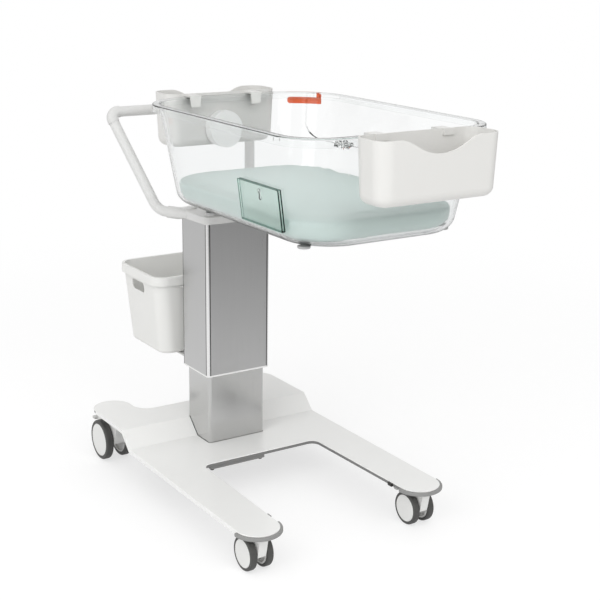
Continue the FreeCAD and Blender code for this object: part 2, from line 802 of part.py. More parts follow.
def bracket_bolts():
    """Four domed bolts through the bracket into the sleeve's gussets."""
    head = cylinder(bolt_head_radius, bolt_head_height, V(bracket_bolt_x, bracket_bolt_y, bracket_top))
    head = head.makeFillet(bolt_head_height * 0.8, bottom_edges(head, bracket_top + bolt_head_height))
    bolts = []
    for shank, cap in zip(bracket_bolt_shanks().Solids, four_corners(head)):
        bolts.append(shank.fuse(cap).removeSplitter())
    return Part.Compound(bolts)


def sleeve_trim():
    """The white wiper ring at the sleeve's foot."""
    top = sleeve_bottom
    ring = rounded_block(-sleeve_depth / 2.0 - trim_overhang, sleeve_depth / 2.0 + trim_overhang,
                         sleeve_width / 2.0 + trim_overhang, sleeve_corner_radius + trim_overhang,
                         sleeve_corner_radius + trim_overhang, top - trim_height, top)
    ring = ring.makeFillet(1.5, bottom_edges(ring, top - trim_height))
    return ring.cut(column_hole(trim_gap, top - trim_height - 1.0, top + 1.0))


# ---------------------------------------------------------------- top bracket and handle
def bracket_plate():
    """The cast plate on the column's head, a little wider at the handle's end."""
    front = bracket_half_width_front
    rear = bracket_half_width_rear
    points = [
        V(bracket_rear_x, -rear, sleeve_top), V(bracket_front_x, -front, sleeve_top),
        V(bracket_front_x, front, sleeve_top), V(bracket_rear_x, rear, sleeve_top),
    ]
    plate = Part.Face(Part.makePolygon(points + [points[0]])).extrude(V(0, 0, bracket_thickness))
    plate = plate.makeFillet(bracket_corner_radius, [e for e in plate.Edges if e.BoundBox.ZLength > 1.0])
    return plate.makeFillet(3.0, bottom_edges(plate, bracket_top))


def handle_points(side):
    """The handle's corners on one side, from its root in the bracket to its top corner."""
    z = sleeve_top + bracket_thickness / 2.0
    return [
        V(handle_root_x, side * handle_root_y, z),
        V(handle_bend_x, side * handle_bend_y, z),
        V(handle_top_x, side * handle_top_y, handle_top_z),
    ]


def bent_path(points, radii):
    """A path of straight runs joined by tangent arcs, one radius for each inner corner."""
    edges = []
    start = points[0]
    for i in range(1, len(points) - 1):
        corner = points[i]
        back = (points[i - 1] - corner).normalize()
        ahead = (points[i + 1] - corner).normalize()
        half_turn = back.getAngle(ahead) / 2.0
        radius = radii[i - 1]
        cut = radius / math.tan(half_turn)
        first = corner + back * cut
        last = corner + ahead * cut
        bisector = (back + ahead).normalize()
        middle = corner + bisector * (radius / math.sin(half_turn) - radius)
        edges.append(Part.makeLine(start, first))
        edges.append(Part.Arc(first, middle, last).toShape())
        start = last
    edges.append(Part.makeLine(start, points[-1]))
    return Part.Wire(edges)


def swept_round(path, radius):
    """A round bar along a path."""
    first = path.Edges[0]
    start = first.valueAt(first.FirstParameter)
    direction = first.tangentAt(first.FirstParameter)
    ring = Part.Wire([Part.makeCircle(radius, start, direction)])
    return path.makePipeShell([ring], True, False)


def push_handle():
    """The bent tube that the bassinet is pushed by."""
    radii = [handle_bend_radius, handle_corner_radius, handle_corner_radius, handle_bend_radius]
    path = bent_path(handle_points(-1) + handle_points(1)[::-1], radii)
    return swept_round(path, handle_radius).cut(swept_round(path, handle_radius - handle_wall))


def handle_elbows():
    """The two thicker fittings round the handle's upper corners."""
    elbows = []
    for side in (-1, 1):
        _, bend, corner = handle_points(side)
        down = corner + (bend - corner).normalize() * elbow_reach
        along = corner - V(0, side * elbow_reach, 0)
        path = bent_path([down, corner, along], [handle_corner_radius])
        elbows.append(swept_round(path, elbow_radius).cut(swept_round(path, handle_radius)))
    return Part.Compound(elbows)


def handle_sockets():
    """The tapering sockets of the bracket that the handle's ends go into, and the room in them."""
    sockets = []
    rooms = []
    for side in (-1, 1):
        root, bend, _ = handle_points(side)
        direction = (bend - root).normalize()
        foot = root + direction * ((socket_foot_x - root.x) / direction.x)
        mouth = root + direction * ((socket_mouth_x - root.x) / direction.x)
        taper = (root - foot).Length
        cone = Part.makeCone(socket_foot_radius, socket_radius, taper, foot, direction)
        sleeve = cylinder(socket_radius, (mouth - root).Length, root, direction)
        sockets.append(cone.fuse(sleeve))
        rooms.append(cylinder(handle_radius, 2 * taper, root, direction))
    return sockets, rooms


def ear_outline_solid(y0, thickness, radius, foot_z, foot_half):
    """An ear that stands on a plate and is round about the tilt axis."""
    disc = cylinder(radius, thickness, V(tilt_x, y0, tilt_z), Y_AXIS)
    web = side_prism([(tilt_x - radius, tilt_z), (tilt_x + radius, tilt_z),
                      (tilt_x + foot_half, foot_z), (tilt_x - foot_half, foot_z)], y0, y0 + thickness)
    return disc.fuse(web)


def top_bracket():
    """The casting on the column: plate, handle sockets and the two ears of the tilt joint."""
    casting = bracket_plate()
    sockets, rooms = handle_sockets()
    for socket in sockets:
        casting = casting.fuse(socket)
    ear = ear_outline_solid(ear_inner_y, ear_thickness, ear_radius, bracket_top, ear_radius + 8.0)
    casting = casting.fuse(ear).fuse(mirrored(ear))
    for room in rooms:
        casting = casting.cut(room)
    column = rounded_block(-sleeve_depth / 2.0, sleeve_depth / 2.0, sleeve_width / 2.0,
                           sleeve_corner_radius, sleeve_corner_radius, sleeve_bottom, sleeve_top)
    bore = cylinder(tilt_pin_radius + running_gap, 4 * ear_inner_y, V(tilt_x, -2 * ear_inner_y, tilt_z), Y_AXIS)
    return casting.cut(column).cut(bore).cut(bracket_bolt_shanks()).removeSplitter()


def lug_outer_y():
    """Outer face of the cradle's lugs."""
    return ear_inner_y + ear_thickness + lug_gap + lug_thickness


def tub_cradle():
    """The steel pan that the tub stands on, with two lugs on the tilt pin."""
    top = tub_bottom - seat_gap
    half = cradle_half_width
    pan = rounded_block(cradle_rear_x, cradle_front_x, half, 20.0, 20.0, top - cradle_flange_height, top)
    hollow = rounded_block(cradle_rear_x + cradle_sheet, cradle_front_x - cradle_sheet, half - cradle_sheet,
                           20.0 - cradle_sheet, 20.0 - cradle_sheet, top - cradle_flange_height - 1.0,
                           top - cradle_sheet)
    pan = pan.cut(hollow)
    lug = ear_outline_solid(lug_outer_y() - lug_thickness, lug_thickness, ear_radius - 1.0, top - cradle_sheet,
                            ear_radius + 12.0)
    pan = pan.fuse(lug).fuse(mirrored(lug))
    return pan.cut(tilt_pin()).removeSplitter()


def tilt_pin():
    """The pin that the cradle tilts on."""
    return cylinder(tilt_pin_radius, 2 * lug_outer_y() + 6.0, V(tilt_x, -lug_outer_y() - 3.0, tilt_z), Y_AXIS)


# ---------------------------------------------------------------- tub
def tub_level(z, inset):
    """The tub's outer outline at a level, or a parallel one inside it."""
    share = (z - tub_bottom) / tub_height
    rear = tub_rear_bottom_x + share * (tub_rear_top_x - tub_rear_bottom_x)
    front = tub_front_bottom_x + share * (tub_front_top_x - tub_front_bottom_x)
    half = tub_half_width_bottom + share * (tub_half_width_top - tub_half_width_bottom)
    front_radius = tub_front_radius_low + share * (tub_front_radius - tub_front_radius_low)
    return (rear + inset, front - inset, half - inset, tub_rear_radius - inset, front_radius - inset, z)


def tub_body(inset, floor, top, radius):
    """The tub's drafted form with a rounded foot."""
    z0 = tub_bottom + floor
    block = drafted_block(tub_level(z0, inset), tub_level(top, inset))
    return block.makeFillet(radius, bottom_edges(block, z0))


def lip_block(inset, z0, z1):
    """The rim's outer form, or a parallel one inside it."""
    return rounded_block(lip_rear_x + inset, lip_front_x - inset, lip_half_width - inset,
                         lip_rear_radius - inset, lip_front_radius - inset, z0, z1)


def whole_tub():
    """The tub in one piece, before the drop-down side is cut from it."""
    outer = tub_body(0.0, 0.0, tub_rim, tub_bottom_radius)
    inner = tub_body(tub_wall, tub_floor, tub_rim + 1.0, tub_bottom_radius - tub_wall)
    lip = lip_block(0.0, tub_rim - lip_height, tub_rim)
    lip = lip.makeFillet(2.4, bottom_edges(lip, tub_rim))
    under = lip_block(lip_thickness, tub_rim - lip_height - 1.0, tub_rim - lip_thickness)
    lip = lip.cut(under.cut(outer))
    return outer.fuse(lip).cut(inner)


def door_cutter(gap):
    """The space of the drop-down side: an upright panel with leaning ends and round lower corners."""
    rear_lean = (tub_rear_bottom_x - tub_rear_top_x) / tub_height
    front_lean = (tub_front_top_x - tub_front_bottom_x) / tub_height
    z0 = door_sill - gap
    z1 = tub_rim + cut_margin
    y = door_inner_y
    corners = [
        V(door_rear_x - gap - (z1 - tub_rim) * rear_lean, y, z1),
        V(door_rear_x - gap + (tub_rim - z0) * rear_lean, y, z0),
        V(door_front_x + gap - (tub_rim - z0) * front_lean, y, z0),
        V(door_front_x + gap + (z1 - tub_rim) * front_lean, y, z1),
    ]
    outline = bent_path(corners, [door_corner_radius + gap] * 2)
    lid = Part.makeLine(corners[-1], corners[0])
    return Part.Face(Part.Wire(outline.Edges + [lid])).extrude(V(0, 300.0, 0))


def wall_y(z):
    """The outer face of the tub's long walls at a level."""
    return tub_half_width_bottom + (z - tub_bottom) / tub_height * (tub_half_width_top - tub_half_width_bottom)


def hinge_axis():
    """Y and Z of the axis that the drop-down side turns on."""
    return wall_y(door_sill) + hinge_offset, door_sill


def knuckle(x0, x1, up):
    """A moulded hinge knuckle on the wall, above or below the door's sill."""
    y, z = hinge_axis()
    barrel = cylinder(hinge_knuckle_radius, x1 - x0, V(x0, y, z), X_AXIS)
    reach = 12.0 * up
    wall_in = 1.5
    web = Part.makePolygon([
        V(x0, y - hinge_knuckle_radius, z), V(x0, y + hinge_knuckle_radius * 0.6, z + 2.4 * up),
        V(x0, wall_y(z + reach) - wall_in, z + reach), V(x0, wall_y(z + 2.0 * up) - wall_in, z + 2.0 * up),
        V(x0, y - hinge_knuckle_radius, z),
    ])
    return barrel.fuse(Part.Face(web).extrude(V(x1 - x0, 0, 0)))


def hinge_knuckles(fixed):
    """The knuckles of the tub, or the ones of the door between them."""
    parts = []
    gap = hinge_knuckle_gap
    length = hinge_knuckle_length
    for x in hinge_x:
        if fixed:
            parts.append(knuckle(x - 1.5 * length, x - 0.5 * length - gap, -1))
            parts.append(knuckle(x + 0.5 * length + gap, x + 1.5 * length, -1))
        else:
            parts.append(knuckle(x - 0.5 * length, x + 0.5 * length, 1))
    return parts


def hinge_clearance(length_share):
    """Room round the hinge's axis, cut from the part that the other knuckles sweep."""
    y, z = hinge_axis()
    cuts = []
    for x in hinge_x:
        span = hinge_knuckle_length * length_share
        cuts.append(cylinder(hinge_knuckle_radius + hinge_knuckle_gap, 2 * span, V(x - span, y, z), X_AXIS))
    return cuts


def hinge_pins(radius):
    """The two pins of the door's hinge."""
    y, z = hinge_axis()
    pins = []
    for x in hinge_x:
        start = V(x - 1.5 * hinge_knuckle_length - 1.0, y, z)
        pins.append(cylinder(radius, 3 * hinge_knuckle_length + 2.0, start, X_AXIS))
    return pins


def ring_sector(radius0, radius1, angle0, angle1, z0, z1):
    """A piece of a ring round the axis of the tub's rear corner on the door's side."""
    centre = latch_centre(z0)
    ring = cylinder(radius1, z1 - z0, centre).cut(cylinder(radius0, z1 - z0, centre))
    far = 4 * radius1
    rays = [centre]
    for angle in (angle0, (angle0 + angle1) / 2.0, angle1):
        a = math.radians(angle)
        rays.append(centre + V(far * math.cos(a), far * math.sin(a), 0))
    wedge = Part.Face(Part.makePolygon(rays + [centre])).extrude(V(0, 0, z1 - z0))
    return ring.common(wedge)


def latch_centre(z):
    """The axis of the tub's rear corner on the door's side."""
    return V(lip_rear_x + lip_rear_radius, lip_half_width - lip_rear_radius, z)


def radial_edges(shape, angle, levels):
    """The level edges of a ring's piece that point at its axis, at one end or at both."""
    found = []
    for e in shape.Edges:
        a, b = e.Vertexes[0].Point, e.Vertexes[-1].Point
        out = a - latch_centre(a.z)
        level = abs(a.z - b.z) < 0.01 and any(abs(a.z - z) < 0.01 for z in levels)
        straight = level and out.cross(b - a).Length < 0.01 * out.Length * (b - a).Length
        at_end = angle is None or abs(math.degrees(math.atan2(out.y, out.x)) - angle) < 0.5
        if straight and at_end:
            found.append(e)
    return found


def latch_key(grow, turn):
    """The key that guides the latch: a neck through the door's rim, or the slot for it."""
    first = latch_front_angle + (latch_tab_angle - latch_key_angle) / 2.0
    middle = tub_rim - latch_key_drop
    half = latch_key_height / 2.0 + grow
    spread = math.degrees(grow / lip_rear_radius)
    return ring_sector(lip_rear_radius - lip_thickness - latch_key_gap, lip_rear_radius + latch_gap + 1.0,
                       first - turn - spread, first + latch_key_angle + spread, middle - half, middle + half)


def door_latch():
    """The orange sliding latch: a bar round the corner, an upright thumb tab and its guide key."""
    inner = lip_rear_radius + latch_gap
    top = tub_rim - latch_drop
    outer = inner + latch_thickness
    low = top - latch_height
    bar = ring_sector(inner, outer, latch_front_angle, latch_rear_angle, low, top)
    tab_end = latch_front_angle + latch_tab_angle
    tab = ring_sector(inner, outer, latch_front_angle, tab_end, low, tub_rim - latch_tab_drop)
    bar = bar.makeFillet(latch_end_radius, radial_edges(bar, latch_rear_angle, (low, top)))
    tab = tab.makeFillet(latch_tab_radius, radial_edges(tab, None, (tub_rim - latch_tab_drop,)))
    first = latch_front_angle + (latch_tab_angle - latch_key_angle) / 2.0
    middle = tub_rim - latch_key_drop
    back = lip_rear_radius - lip_thickness - latch_key_gap
    head = ring_sector(back - latch_key_head, back, first, first + latch_key_angle,
                       middle - latch_key_height, middle + latch_key_height)
    return bar.fuse(tab).fuse(latch_key(0.0, 0.0)).fuse(head).removeSplitter()


def tub():
    """The clear tub with an opening for the drop-down side, hinge knuckles and the card stud."""
    shell = whole_tub().cut(door_cutter(door_gap))
    for part in hinge_knuckles(True):
        shell = shell.fuse(part)
    for room in hinge_clearance(0.5):
        shell = shell.cut(room)
    for pin in hinge_pins(hinge_pin_radius):
        shell = shell.cut(pin)
    shell = shell.fuse(card_stud())
    return shell.removeSplitter()


def side_door():
    """The clear drop-down side with its own piece of rim, its knuckles and the slot for the latch's key."""
    panel = whole_tub().common(door_cutter(0.0))
    for part in hinge_knuckles(False):
        panel = panel.fuse(part)
    y, z = hinge_axis()
    for x in hinge_x:
        for side in (-1, 1):
            inner_end = x + side * 0.5 * hinge_knuckle_length
            outer_end = x + side * (1.5 * hinge_knuckle_length + 1.5)
            start = V(min(inner_end, outer_end), y, z)
            room = cylinder(hinge_knuckle_radius + hinge_knuckle_gap, abs(outer_end - inner_end), start, X_AXIS)
            panel = panel.cut(room)
    for pin in hinge_pins(hinge_pin_radius + running_gap):
        panel = panel.cut(pin)
    return panel.cut(latch_key(latch_key_gap, latch_turn)).removeSplitter()


def tub_feet():
    """Four soft feet, which the tub stands on when it is lifted off."""
    feet = []
    for x in tub_foot_x:
        for side in (-1, 1):
            low = tub_bottom - tub_foot_height
            foot = cylinder(tub_foot_radius, tub_foot_height, V(x, side * tub_foot_y, low))
            feet.append(foot.makeFillet(2.0, bottom_edges(foot, low)))
    return Part.Compound(feet)


def mattress():
    """A plain solid of the foam mattress, a little clear of the tub's walls."""
    z0 = tub_bottom + tub_floor + seat_gap
    inset = tub_wall + mattress_gap

    def outline(z):
        rear, front, half, rear_radius, _, _ = tub_level(z, inset)
        return rear, front + mattress_gap - mattress_foot_gap, half, rear_radius, mattress_foot_corner, z
    block = drafted_block(outline(z0), outline(z0 + mattress_thickness))
    block = block.makeFillet(mattress_under_radius, bottom_edges(block, z0))
    return block.makeFillet(mattress_edge_radius, bottom_edges(block, z0 + mattress_thickness))


# ---------------------------------------------------------------- trays
def tray_form(inset, floor, top):
    """The tray's drafted form; its back is upright and stands off the tub's rim."""
    x0 = lip_front_x + tray_rim_gap + inset
    x1 = lip_front_x + tray_rim_gap + tray_depth - inset
    z0 = tray_top - tray_height + floor
    share = (z0 - (tray_top - tray_height)) / tray_height
    lean = 1.0 - share
    half = tray_half_width - inset
    r = tray_corner_radius - inset
    lower = (x0 + lean * tray_draft_back, x1 - lean * tray_draft_front, half - lean * tray_draft_side, r, r, z0)
    upper = (x0, x1, half, r, r, top)
    return drafted_block(lower, upper)


def scallop():
    """The broad dip in the tray's outer wall, with soft shoulders."""
    x = lip_front_x + tray_depth / 2.0
    y0 = scallop_centre_y - scallop_half_width
    y1 = scallop_centre_y + scallop_half_width
    z = tray_top
    profile = [(0.0, 0.0), (0.19, 0.13), (0.34, 0.35), (0.52, 0.66), (0.72, 0.89)]
    left = [V(x, y0 + share * scallop_half_width, z - drop * scallop_depth) for share, drop in profile]
    right = [V(x, y1 - share * scallop_half_width, z - drop * scallop_depth) for share, drop in profile]
    points = left + [V(x, scallop_centre_y, z - scallop_depth)] + right[::-1]
    curve = Part.BSplineCurve()
    curve.interpolate(points)
    dip = curve.toShape()
    lid = Part.makePolygon([V(x, y1, z), V(x, y1, z + 20.0), V(x, y0, z + 20.0), V(x, y0, z)])
    return Part.Face(Part.Wire([dip] + lid.Edges)).extrude(V(tray_depth, 0, 0))


def tray_hook(y):
    """A flat hook from the tray's back, over the rim and down inside the tub."""
    back = lip_front_x + tray_rim_gap
    outer_x = tub_front_top_x - tub_wall - hook_wall_gap
    inner_x = outer_x - hook_thickness
    z_low = tub_rim + seat_gap
    z_high = z_low + hook_thickness
    half = hook_half_width
    tip_half = half - hook_taper
    over = box(inner_x, back + tray_wall, y - half, y + half, z_low, z_high)
    outline = [V(inner_x, y - half, z_high), V(inner_x, y + half, z_high),
               V(inner_x, y + tip_half, z_high - hook_depth), V(inner_x, y - tip_half, z_high - hook_depth)]
    tongue = Part.Face(Part.makePolygon(outline + outline[:1])).extrude(V(hook_thickness, 0, 0))
    return over.fuse(tongue).fuse(hook_root_block(y, z_high))


def hook_root_block(y, top):
    """The thickening of the tray's back wall under a hook, up to a level."""
    back = lip_front_x + tray_rim_gap
    return box(back, back + tray_wall + hook_root, y - hook_half_width, y + hook_half_width,
               tub_rim - hook_root_drop, top)


def hanging_tray(hook_middle):
    """A tray as it hangs at the foot end: open at the top, with a scalloped outer wall and two hooks."""
    outer = tray_form(0.0, 0.0, tray_top)
    low = tray_top - tray_height
    outer = outer.makeFillet(tray_bottom_radius, bottom_edges(outer, low))
    inner = tray_form(tray_wall, tray_wall, tray_top + 1.0)
    inner = inner.makeFillet(tray_bottom_radius - tray_wall, bottom_edges(inner, low + tray_wall))
    tray = outer.cut(scallop())
    for y in (hook_middle - hook_y, hook_middle + hook_y):
        tray = tray.fuse(tray_hook(y))
        inner = inner.cut(hook_root_block(y, tray_top + cut_margin))
    return tray.cut(inner).removeSplitter()


def spacer(back, side, low_x, high_x, y):
    """A disc on a tray's back, cut parallel to the end wall that runs from low_x to high_x."""
    slope = (high_x - low_x) / tub_height

    def face_x(z):
        return low_x + (z - tub_bottom) * slope + side * spacer_gap
    far = back - side * (abs(back - face_x(spacer_z)) + 20.0)
    disc = cylinder(spacer_radius, abs(far - back), V(min(back, far), y, spacer_z), X_AXIS)
    low_z = spacer_z - 2 * spacer_radius
    high_z = spacer_z + 2 * spacer_radius
    inside = -side * 100.0
    beyond = side_prism([
        (face_x(low_z), low_z), (face_x(high_z), high_z),
        (face_x(high_z) + inside, high_z), (face_x(low_z) + inside, low_z),
    ], -3 * spacer_radius, 3 * spacer_radius)
    return disc.cut(beyond)


def foot_spacer():
    """The round spacer on the back of the foot end's tray."""
    return spacer(lip_front_x + tray_rim_gap, 1, tub_front_bottom_x, tub_front_top_x, spacer_y)


def head_spacer():
    """The head end's spacer, thicker because the end wall leans more there."""
    return spacer(lip_rear_x - tray_rim_gap, -1, tub_rear_bottom_x, tub_rear_top_x, -spacer_y)


def at_head_end(shape):
    """A part of the foot end turned round, and moved to hang on the head end's rim."""
    middle = V((lip_front_x + lip_rear_x) / 2.0, 0, 0)
    return turned(shape, 180.0, middle, Z_AXIS)


# ---------------------------------------------------------------- storage bin
def bin_level(z, inset):
    """The bin's outline at a level, or a parallel one inside it."""
    share = (bin_rim - z) / (bin_rim - bin_bottom)
    return (bin_rear_x + share * bin_draft_front + inset, bin_front_x - share * bin_draft_front - inset,
            bin_half_width - share * bin_draft - inset, bin_corner_radius - inset, bin_corner_radius - inset, z)


def storage_bin():
    """The open bin behind the column, with a turned-down rim and two hand-holes."""
    outer = drafted_block(bin_level(bin_bottom, 0.0), bin_level(bin_rim, 0.0))
    outer = outer.makeFillet(bin_bottom_radius, bottom_edges(outer, bin_bottom))
    floor = bin_bottom + bin_wall
    inner = drafted_block(bin_level(floor, bin_wall), bin_level(bin_rim + 1.0, bin_wall))
    inner = inner.makeFillet(bin_bottom_radius - bin_wall, bottom_edges(inner, floor))
    reach = bin_rim_reach
    r = bin_corner_radius + reach
    rim = rounded_block(bin_rear_x - reach, bin_front_x + reach, bin_half_width + reach, r, r,
                        bin_rim - bin_rim_height, bin_rim)
    rim = rim.makeFillet(1.5, bottom_edges(rim, bin_rim))
    t = bin_rim_wall
    under = rounded_block(bin_rear_x - reach + t, bin_front_x + reach - t, bin_half_width + reach - t,
                          r - t, r - t, bin_rim - bin_rim_height - 1.0, bin_rim - bin_rim_top)
    shell = outer.fuse(rim.cut(under.cut(outer))).cut(inner)
    return shell.cut(hand_hole_bar()).removeSplitter()


def hand_hole_bar():
    """A bar through both side walls, of the shape of the hand-holes."""
    x = (bin_front_x + bin_rear_x) / 2.0 - 6.0
    z1 = bin_rim - bin_rim_height - hand_hole_drop
    z0 = z1 - hand_hole_height
    reach = bin_half_width + cut_margin
    bar = box(x - hand_hole_length / 2.0, x + hand_hole_length / 2.0, -reach, reach, z0, z1)
    return bar.makeFillet(hand_hole_radius, [e for e in bar.Edges if e.BoundBox.YLength > reach])


def bin_bracket():
    """The bent steel bracket on the column that the bin hangs on and rests on."""
    back = -sleeve_depth / 2.0
    half = bin_bracket_half_width
    shelf_top = bin_bottom - seat_gap
    arm_top = bin_rim - bin_rim_height - 3.0
    plate = box(back - bracket_sheet, back, -half, half, shelf_top - bracket_sheet, arm_top)
    shelf = box(back - bin_shelf_reach, back, -half, half, shelf_top - bracket_sheet, shelf_top)
    channel = bin_front_x + (bin_rim_reach - bin_rim_wall) / 2.0
    hook_x0 = channel - bin_hook_sheet / 2.0
    arm = box(hook_x0, back, -half, half, arm_top - bracket_sheet, arm_top)
    hook_top = bin_rim - bin_rim_top - seat_gap
    hook = box(hook_x0, hook_x0 + bin_hook_sheet, -half, half, arm_top - bracket_sheet, hook_top)
    return plate.fuse(shelf).fuse(arm).fuse(hook).removeSplitter()


# ---------------------------------------------------------------- card holder
def on_near_wall(shape):
    """Places a shape drawn flat: X along the tub, Y up the sloping wall, Z out of it."""
    placed = shape.copy()
    z = card_holder_z
    outward = FreeCAD.Rotation(X_AXIS, 90.0)
    lean = FreeCAD.Rotation(X_AXIS, math.degrees(side_draft))
    placed.Placement = FreeCAD.Placement(V(0, -wall_y(z), z), lean.multiply(outward)).multiply(placed.Placement)
    return placed


def stud_place():
    """The stud's place on the wall: along the tub, and up the slope."""
    return card_holder_x + card_holder_length / 2.0, card_holder_height - stud_drop


def card_stud():
    """The moulded stud on the near wall that the card holder hangs on."""
    x, y = stud_place()
    neck = cylinder(stud_radius, 1.5 + card_holder_gap + card_sheet + keyhole_gap, V(x, y, -1.5))
    head = cylinder(stud_head_radius, stud_head_thickness, V(x, y, card_holder_gap + card_sheet + keyhole_gap))
    return on_near_wall(neck.fuse(head))


def card_holder():
    """The green acrylic pocket: two sheets, joined at the foot and open at the top."""
    back = card_holder_gap
    depth = 2 * card_sheet + card_slot
    end = card_holder_x + card_holder_length
    pocket = box(card_holder_x, end, 0.0, card_holder_height, back, back + depth)
    slot_back = back + card_sheet
    slot = box(card_holder_x - 1.0, end + 1.0, card_sheet, card_holder_height + 1.0,
               slot_back, slot_back + card_slot)
    pocket = pocket.cut(slot)
    x, y = stud_place()
    wide = stud_head_radius + keyhole_gap
    narrow = stud_radius + keyhole_gap
    through = card_sheet + 1.0
    start = back - 0.5
    keyhole = cylinder(narrow, through, V(x, y, start))
    keyhole = keyhole.fuse(box(x - narrow, x + narrow, y - keyhole_travel, y, start, start + through))
    keyhole = keyhole.fuse(cylinder(wide, through, V(x, y - keyhole_travel, start)))
    return on_near_wall(pocket.cut(keyhole))


# ---------------------------------------------------------------- all nodes
def build():
    """Every piece of the bassinet, as {node name: shape}."""
    nodes = {
        "base_cover": base_cover(),
        "base_frame": base_frame(),
        "leg_bumpers": leg_bumpers(),
        "control_box": control_box(),
        "base_fasteners": base_fasteners(),
        "caster_stems": caster_stems(),
        "lower_tube": lower_tube(),
        "tube_glides": tube_glides(),
        "lift_motor": lift_motor(),
        "lift_rod": lift_rod(),
        "column_sleeve": column_sleeve(),
        "sleeve_corner_strips": Part.Compound(corner_strip_volume()),
        "sleeve_trim": sleeve_trim(),
        "top_bracket": top_bracket(),
        "bracket_bolts": bracket_bolts(),
        "push_handle": push_handle(),
        "handle_elbows": handle_elbows(),
        "bin_bracket": bin_bracket(),
        "tub_cradle": tub_cradle(),
        "tilt_pin": tilt_pin(),
        "tub": tub(),
        "tub_feet": tub_feet(),
        "side_door": side_door(),
        "door_hinge_pins": Part.Compound(hinge_pins(hinge_pin_radius)),
        "door_latch": door_latch(),
        "mattress": mattress(),
        "foot_tray": hanging_tray(0.0).translated(V(0, foot_tray_shift, 0)),
        "foot_tray_spacer": foot_spacer().translated(V(0, foot_tray_shift, 0)),
        "head_tray": at_head_end(hanging_tray(head_hook_shift)),
        "head_tray_spacer": head_spacer(),
        "storage_bin": storage_bin(),
        "card_holder": card_holder(),
    }
    nodes.update(casters())
    return nodes


os.makedirs("parts", exist_ok=True)
for node, shape in build().items():
    placed = shape.copy()
    placed.translate(V(origin_shift, 0, 0))
    placed.exportStep("parts/" + node + ".step")
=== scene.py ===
import math

import bmesh
import bpy
from mathutils import Matrix, Vector


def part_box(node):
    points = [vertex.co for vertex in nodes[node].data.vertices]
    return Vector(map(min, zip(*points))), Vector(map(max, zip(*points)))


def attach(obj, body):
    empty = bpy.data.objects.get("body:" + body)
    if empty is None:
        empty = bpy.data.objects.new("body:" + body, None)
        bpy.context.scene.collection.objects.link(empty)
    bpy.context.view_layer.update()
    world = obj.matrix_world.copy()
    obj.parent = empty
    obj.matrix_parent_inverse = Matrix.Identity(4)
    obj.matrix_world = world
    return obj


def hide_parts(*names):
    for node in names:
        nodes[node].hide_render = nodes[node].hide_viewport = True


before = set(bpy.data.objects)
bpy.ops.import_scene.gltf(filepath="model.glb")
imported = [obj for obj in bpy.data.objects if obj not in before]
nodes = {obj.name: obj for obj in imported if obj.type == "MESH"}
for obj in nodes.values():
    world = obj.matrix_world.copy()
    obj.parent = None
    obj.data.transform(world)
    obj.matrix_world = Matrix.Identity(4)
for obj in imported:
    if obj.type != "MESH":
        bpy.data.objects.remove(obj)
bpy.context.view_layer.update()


# ---------------------------------------------------------------- base cover
# The H-shaped cover of the mobile base. It is one shell of satin white plastic, clipped over the
# steel frame, with a very fine grain so that it wipes clean without glare.

def connect(tree, value, socket):
    """Feeds a socket from another node's output, or sets it to a plain value."""
    if isinstance(value, bpy.types.NodeSocket):
        tree.links.new(value, socket)
    else:
        socket.default_value = value


def add_node(tree, kind, settings=None, **inputs):
    """Adds a node; inputs are given by the socket's name, with _ for a space."""
    node = tree.nodes.new(kind)
    for label, value in (settings or {}).items():
        setattr(node, label, value)
    for label, value in inputs.items():
        connect(tree, value, node.inputs[label.replace("_", " ")])
    return node


def sum_of(tree, operation, *values):
    """A Math node's result."""
    node = add_node(tree, "ShaderNodeMath", {"operation": operation})
    for value, socket in zip(values, node.inputs):
        connect(tree, value, socket)
    return node.outputs[0]


def place_on(tree):
    """The place on the piece, in metres, the same at every pose."""
    return tree.nodes.new("ShaderNodeTexCoord").outputs["Object"]


def noise_in(tree, where, scale, detail=3.0):
    """The 0 to 1 value of a noise of that many features to the metre."""
    return add_node(tree, "ShaderNodeTexNoise", Vector=where, Scale=scale, Detail=detail).outputs[0]


def varied(tree, usual, noise, amount):
    """A value that a noise moves up and down about its usual one, by half of an amount each way."""
    return sum_of(tree, "MULTIPLY_ADD", sum_of(tree, "SUBTRACT", noise, 0.5), amount, usual)


def shade_of(tree, colour, factor):
    """A colour made lighter or darker by a factor."""
    return add_node(tree, "ShaderNodeHueSaturation", Color=colour, Value=factor).outputs[0]


def mix_of(tree, share, under, over):
    """One colour over another: a share of 0 leaves the one under, and 1 covers it."""
    node = add_node(tree, "ShaderNodeMix", {"data_type": "RGBA"}, Factor=share, A=under, B=over)
    return node.outputs["Result"]


def effect(name, takes, gives):
    """An empty node group of one surface effect: its tree, what it takes and what it gives."""
    group = bpy.data.node_groups.new(name, "ShaderNodeTree")
    for label, kind, value in takes:
        socket = group.interface.new_socket(label, in_out="INPUT", socket_type="NodeSocket" + kind)
        socket.default_value = value
    for label, kind in gives:
        group.interface.new_socket(label, in_out="OUTPUT", socket_type="NodeSocket" + kind)
    takes_node = group.nodes.new("NodeGroupInput")
    gives_node = group.nodes.new("NodeGroupOutput")
    return group, takes_node.outputs, gives_node.inputs


def use(tree, group, **inputs):
    """Places an effect in a material, with this material's own values."""
    return add_node(tree, "ShaderNodeGroup", {"node_tree": group}, **inputs).outputs


def finish(name, colour, roughness, **plain):
    """A material with its shader's constant sockets set; plain names them with _ for a space."""
    material = bpy.data.materials.new(name)
    material.use_nodes = True
    shader = material.node_tree.nodes["Principled BSDF"]
    shader.inputs["Base Color"].default_value = (*colour, 1.0)
    shader.inputs["Roughness"].default_value = roughness
    for label, value in plain.items():
        shader.inputs[label.replace("_", " ")].default_value = value
    return material, material.node_tree, shader


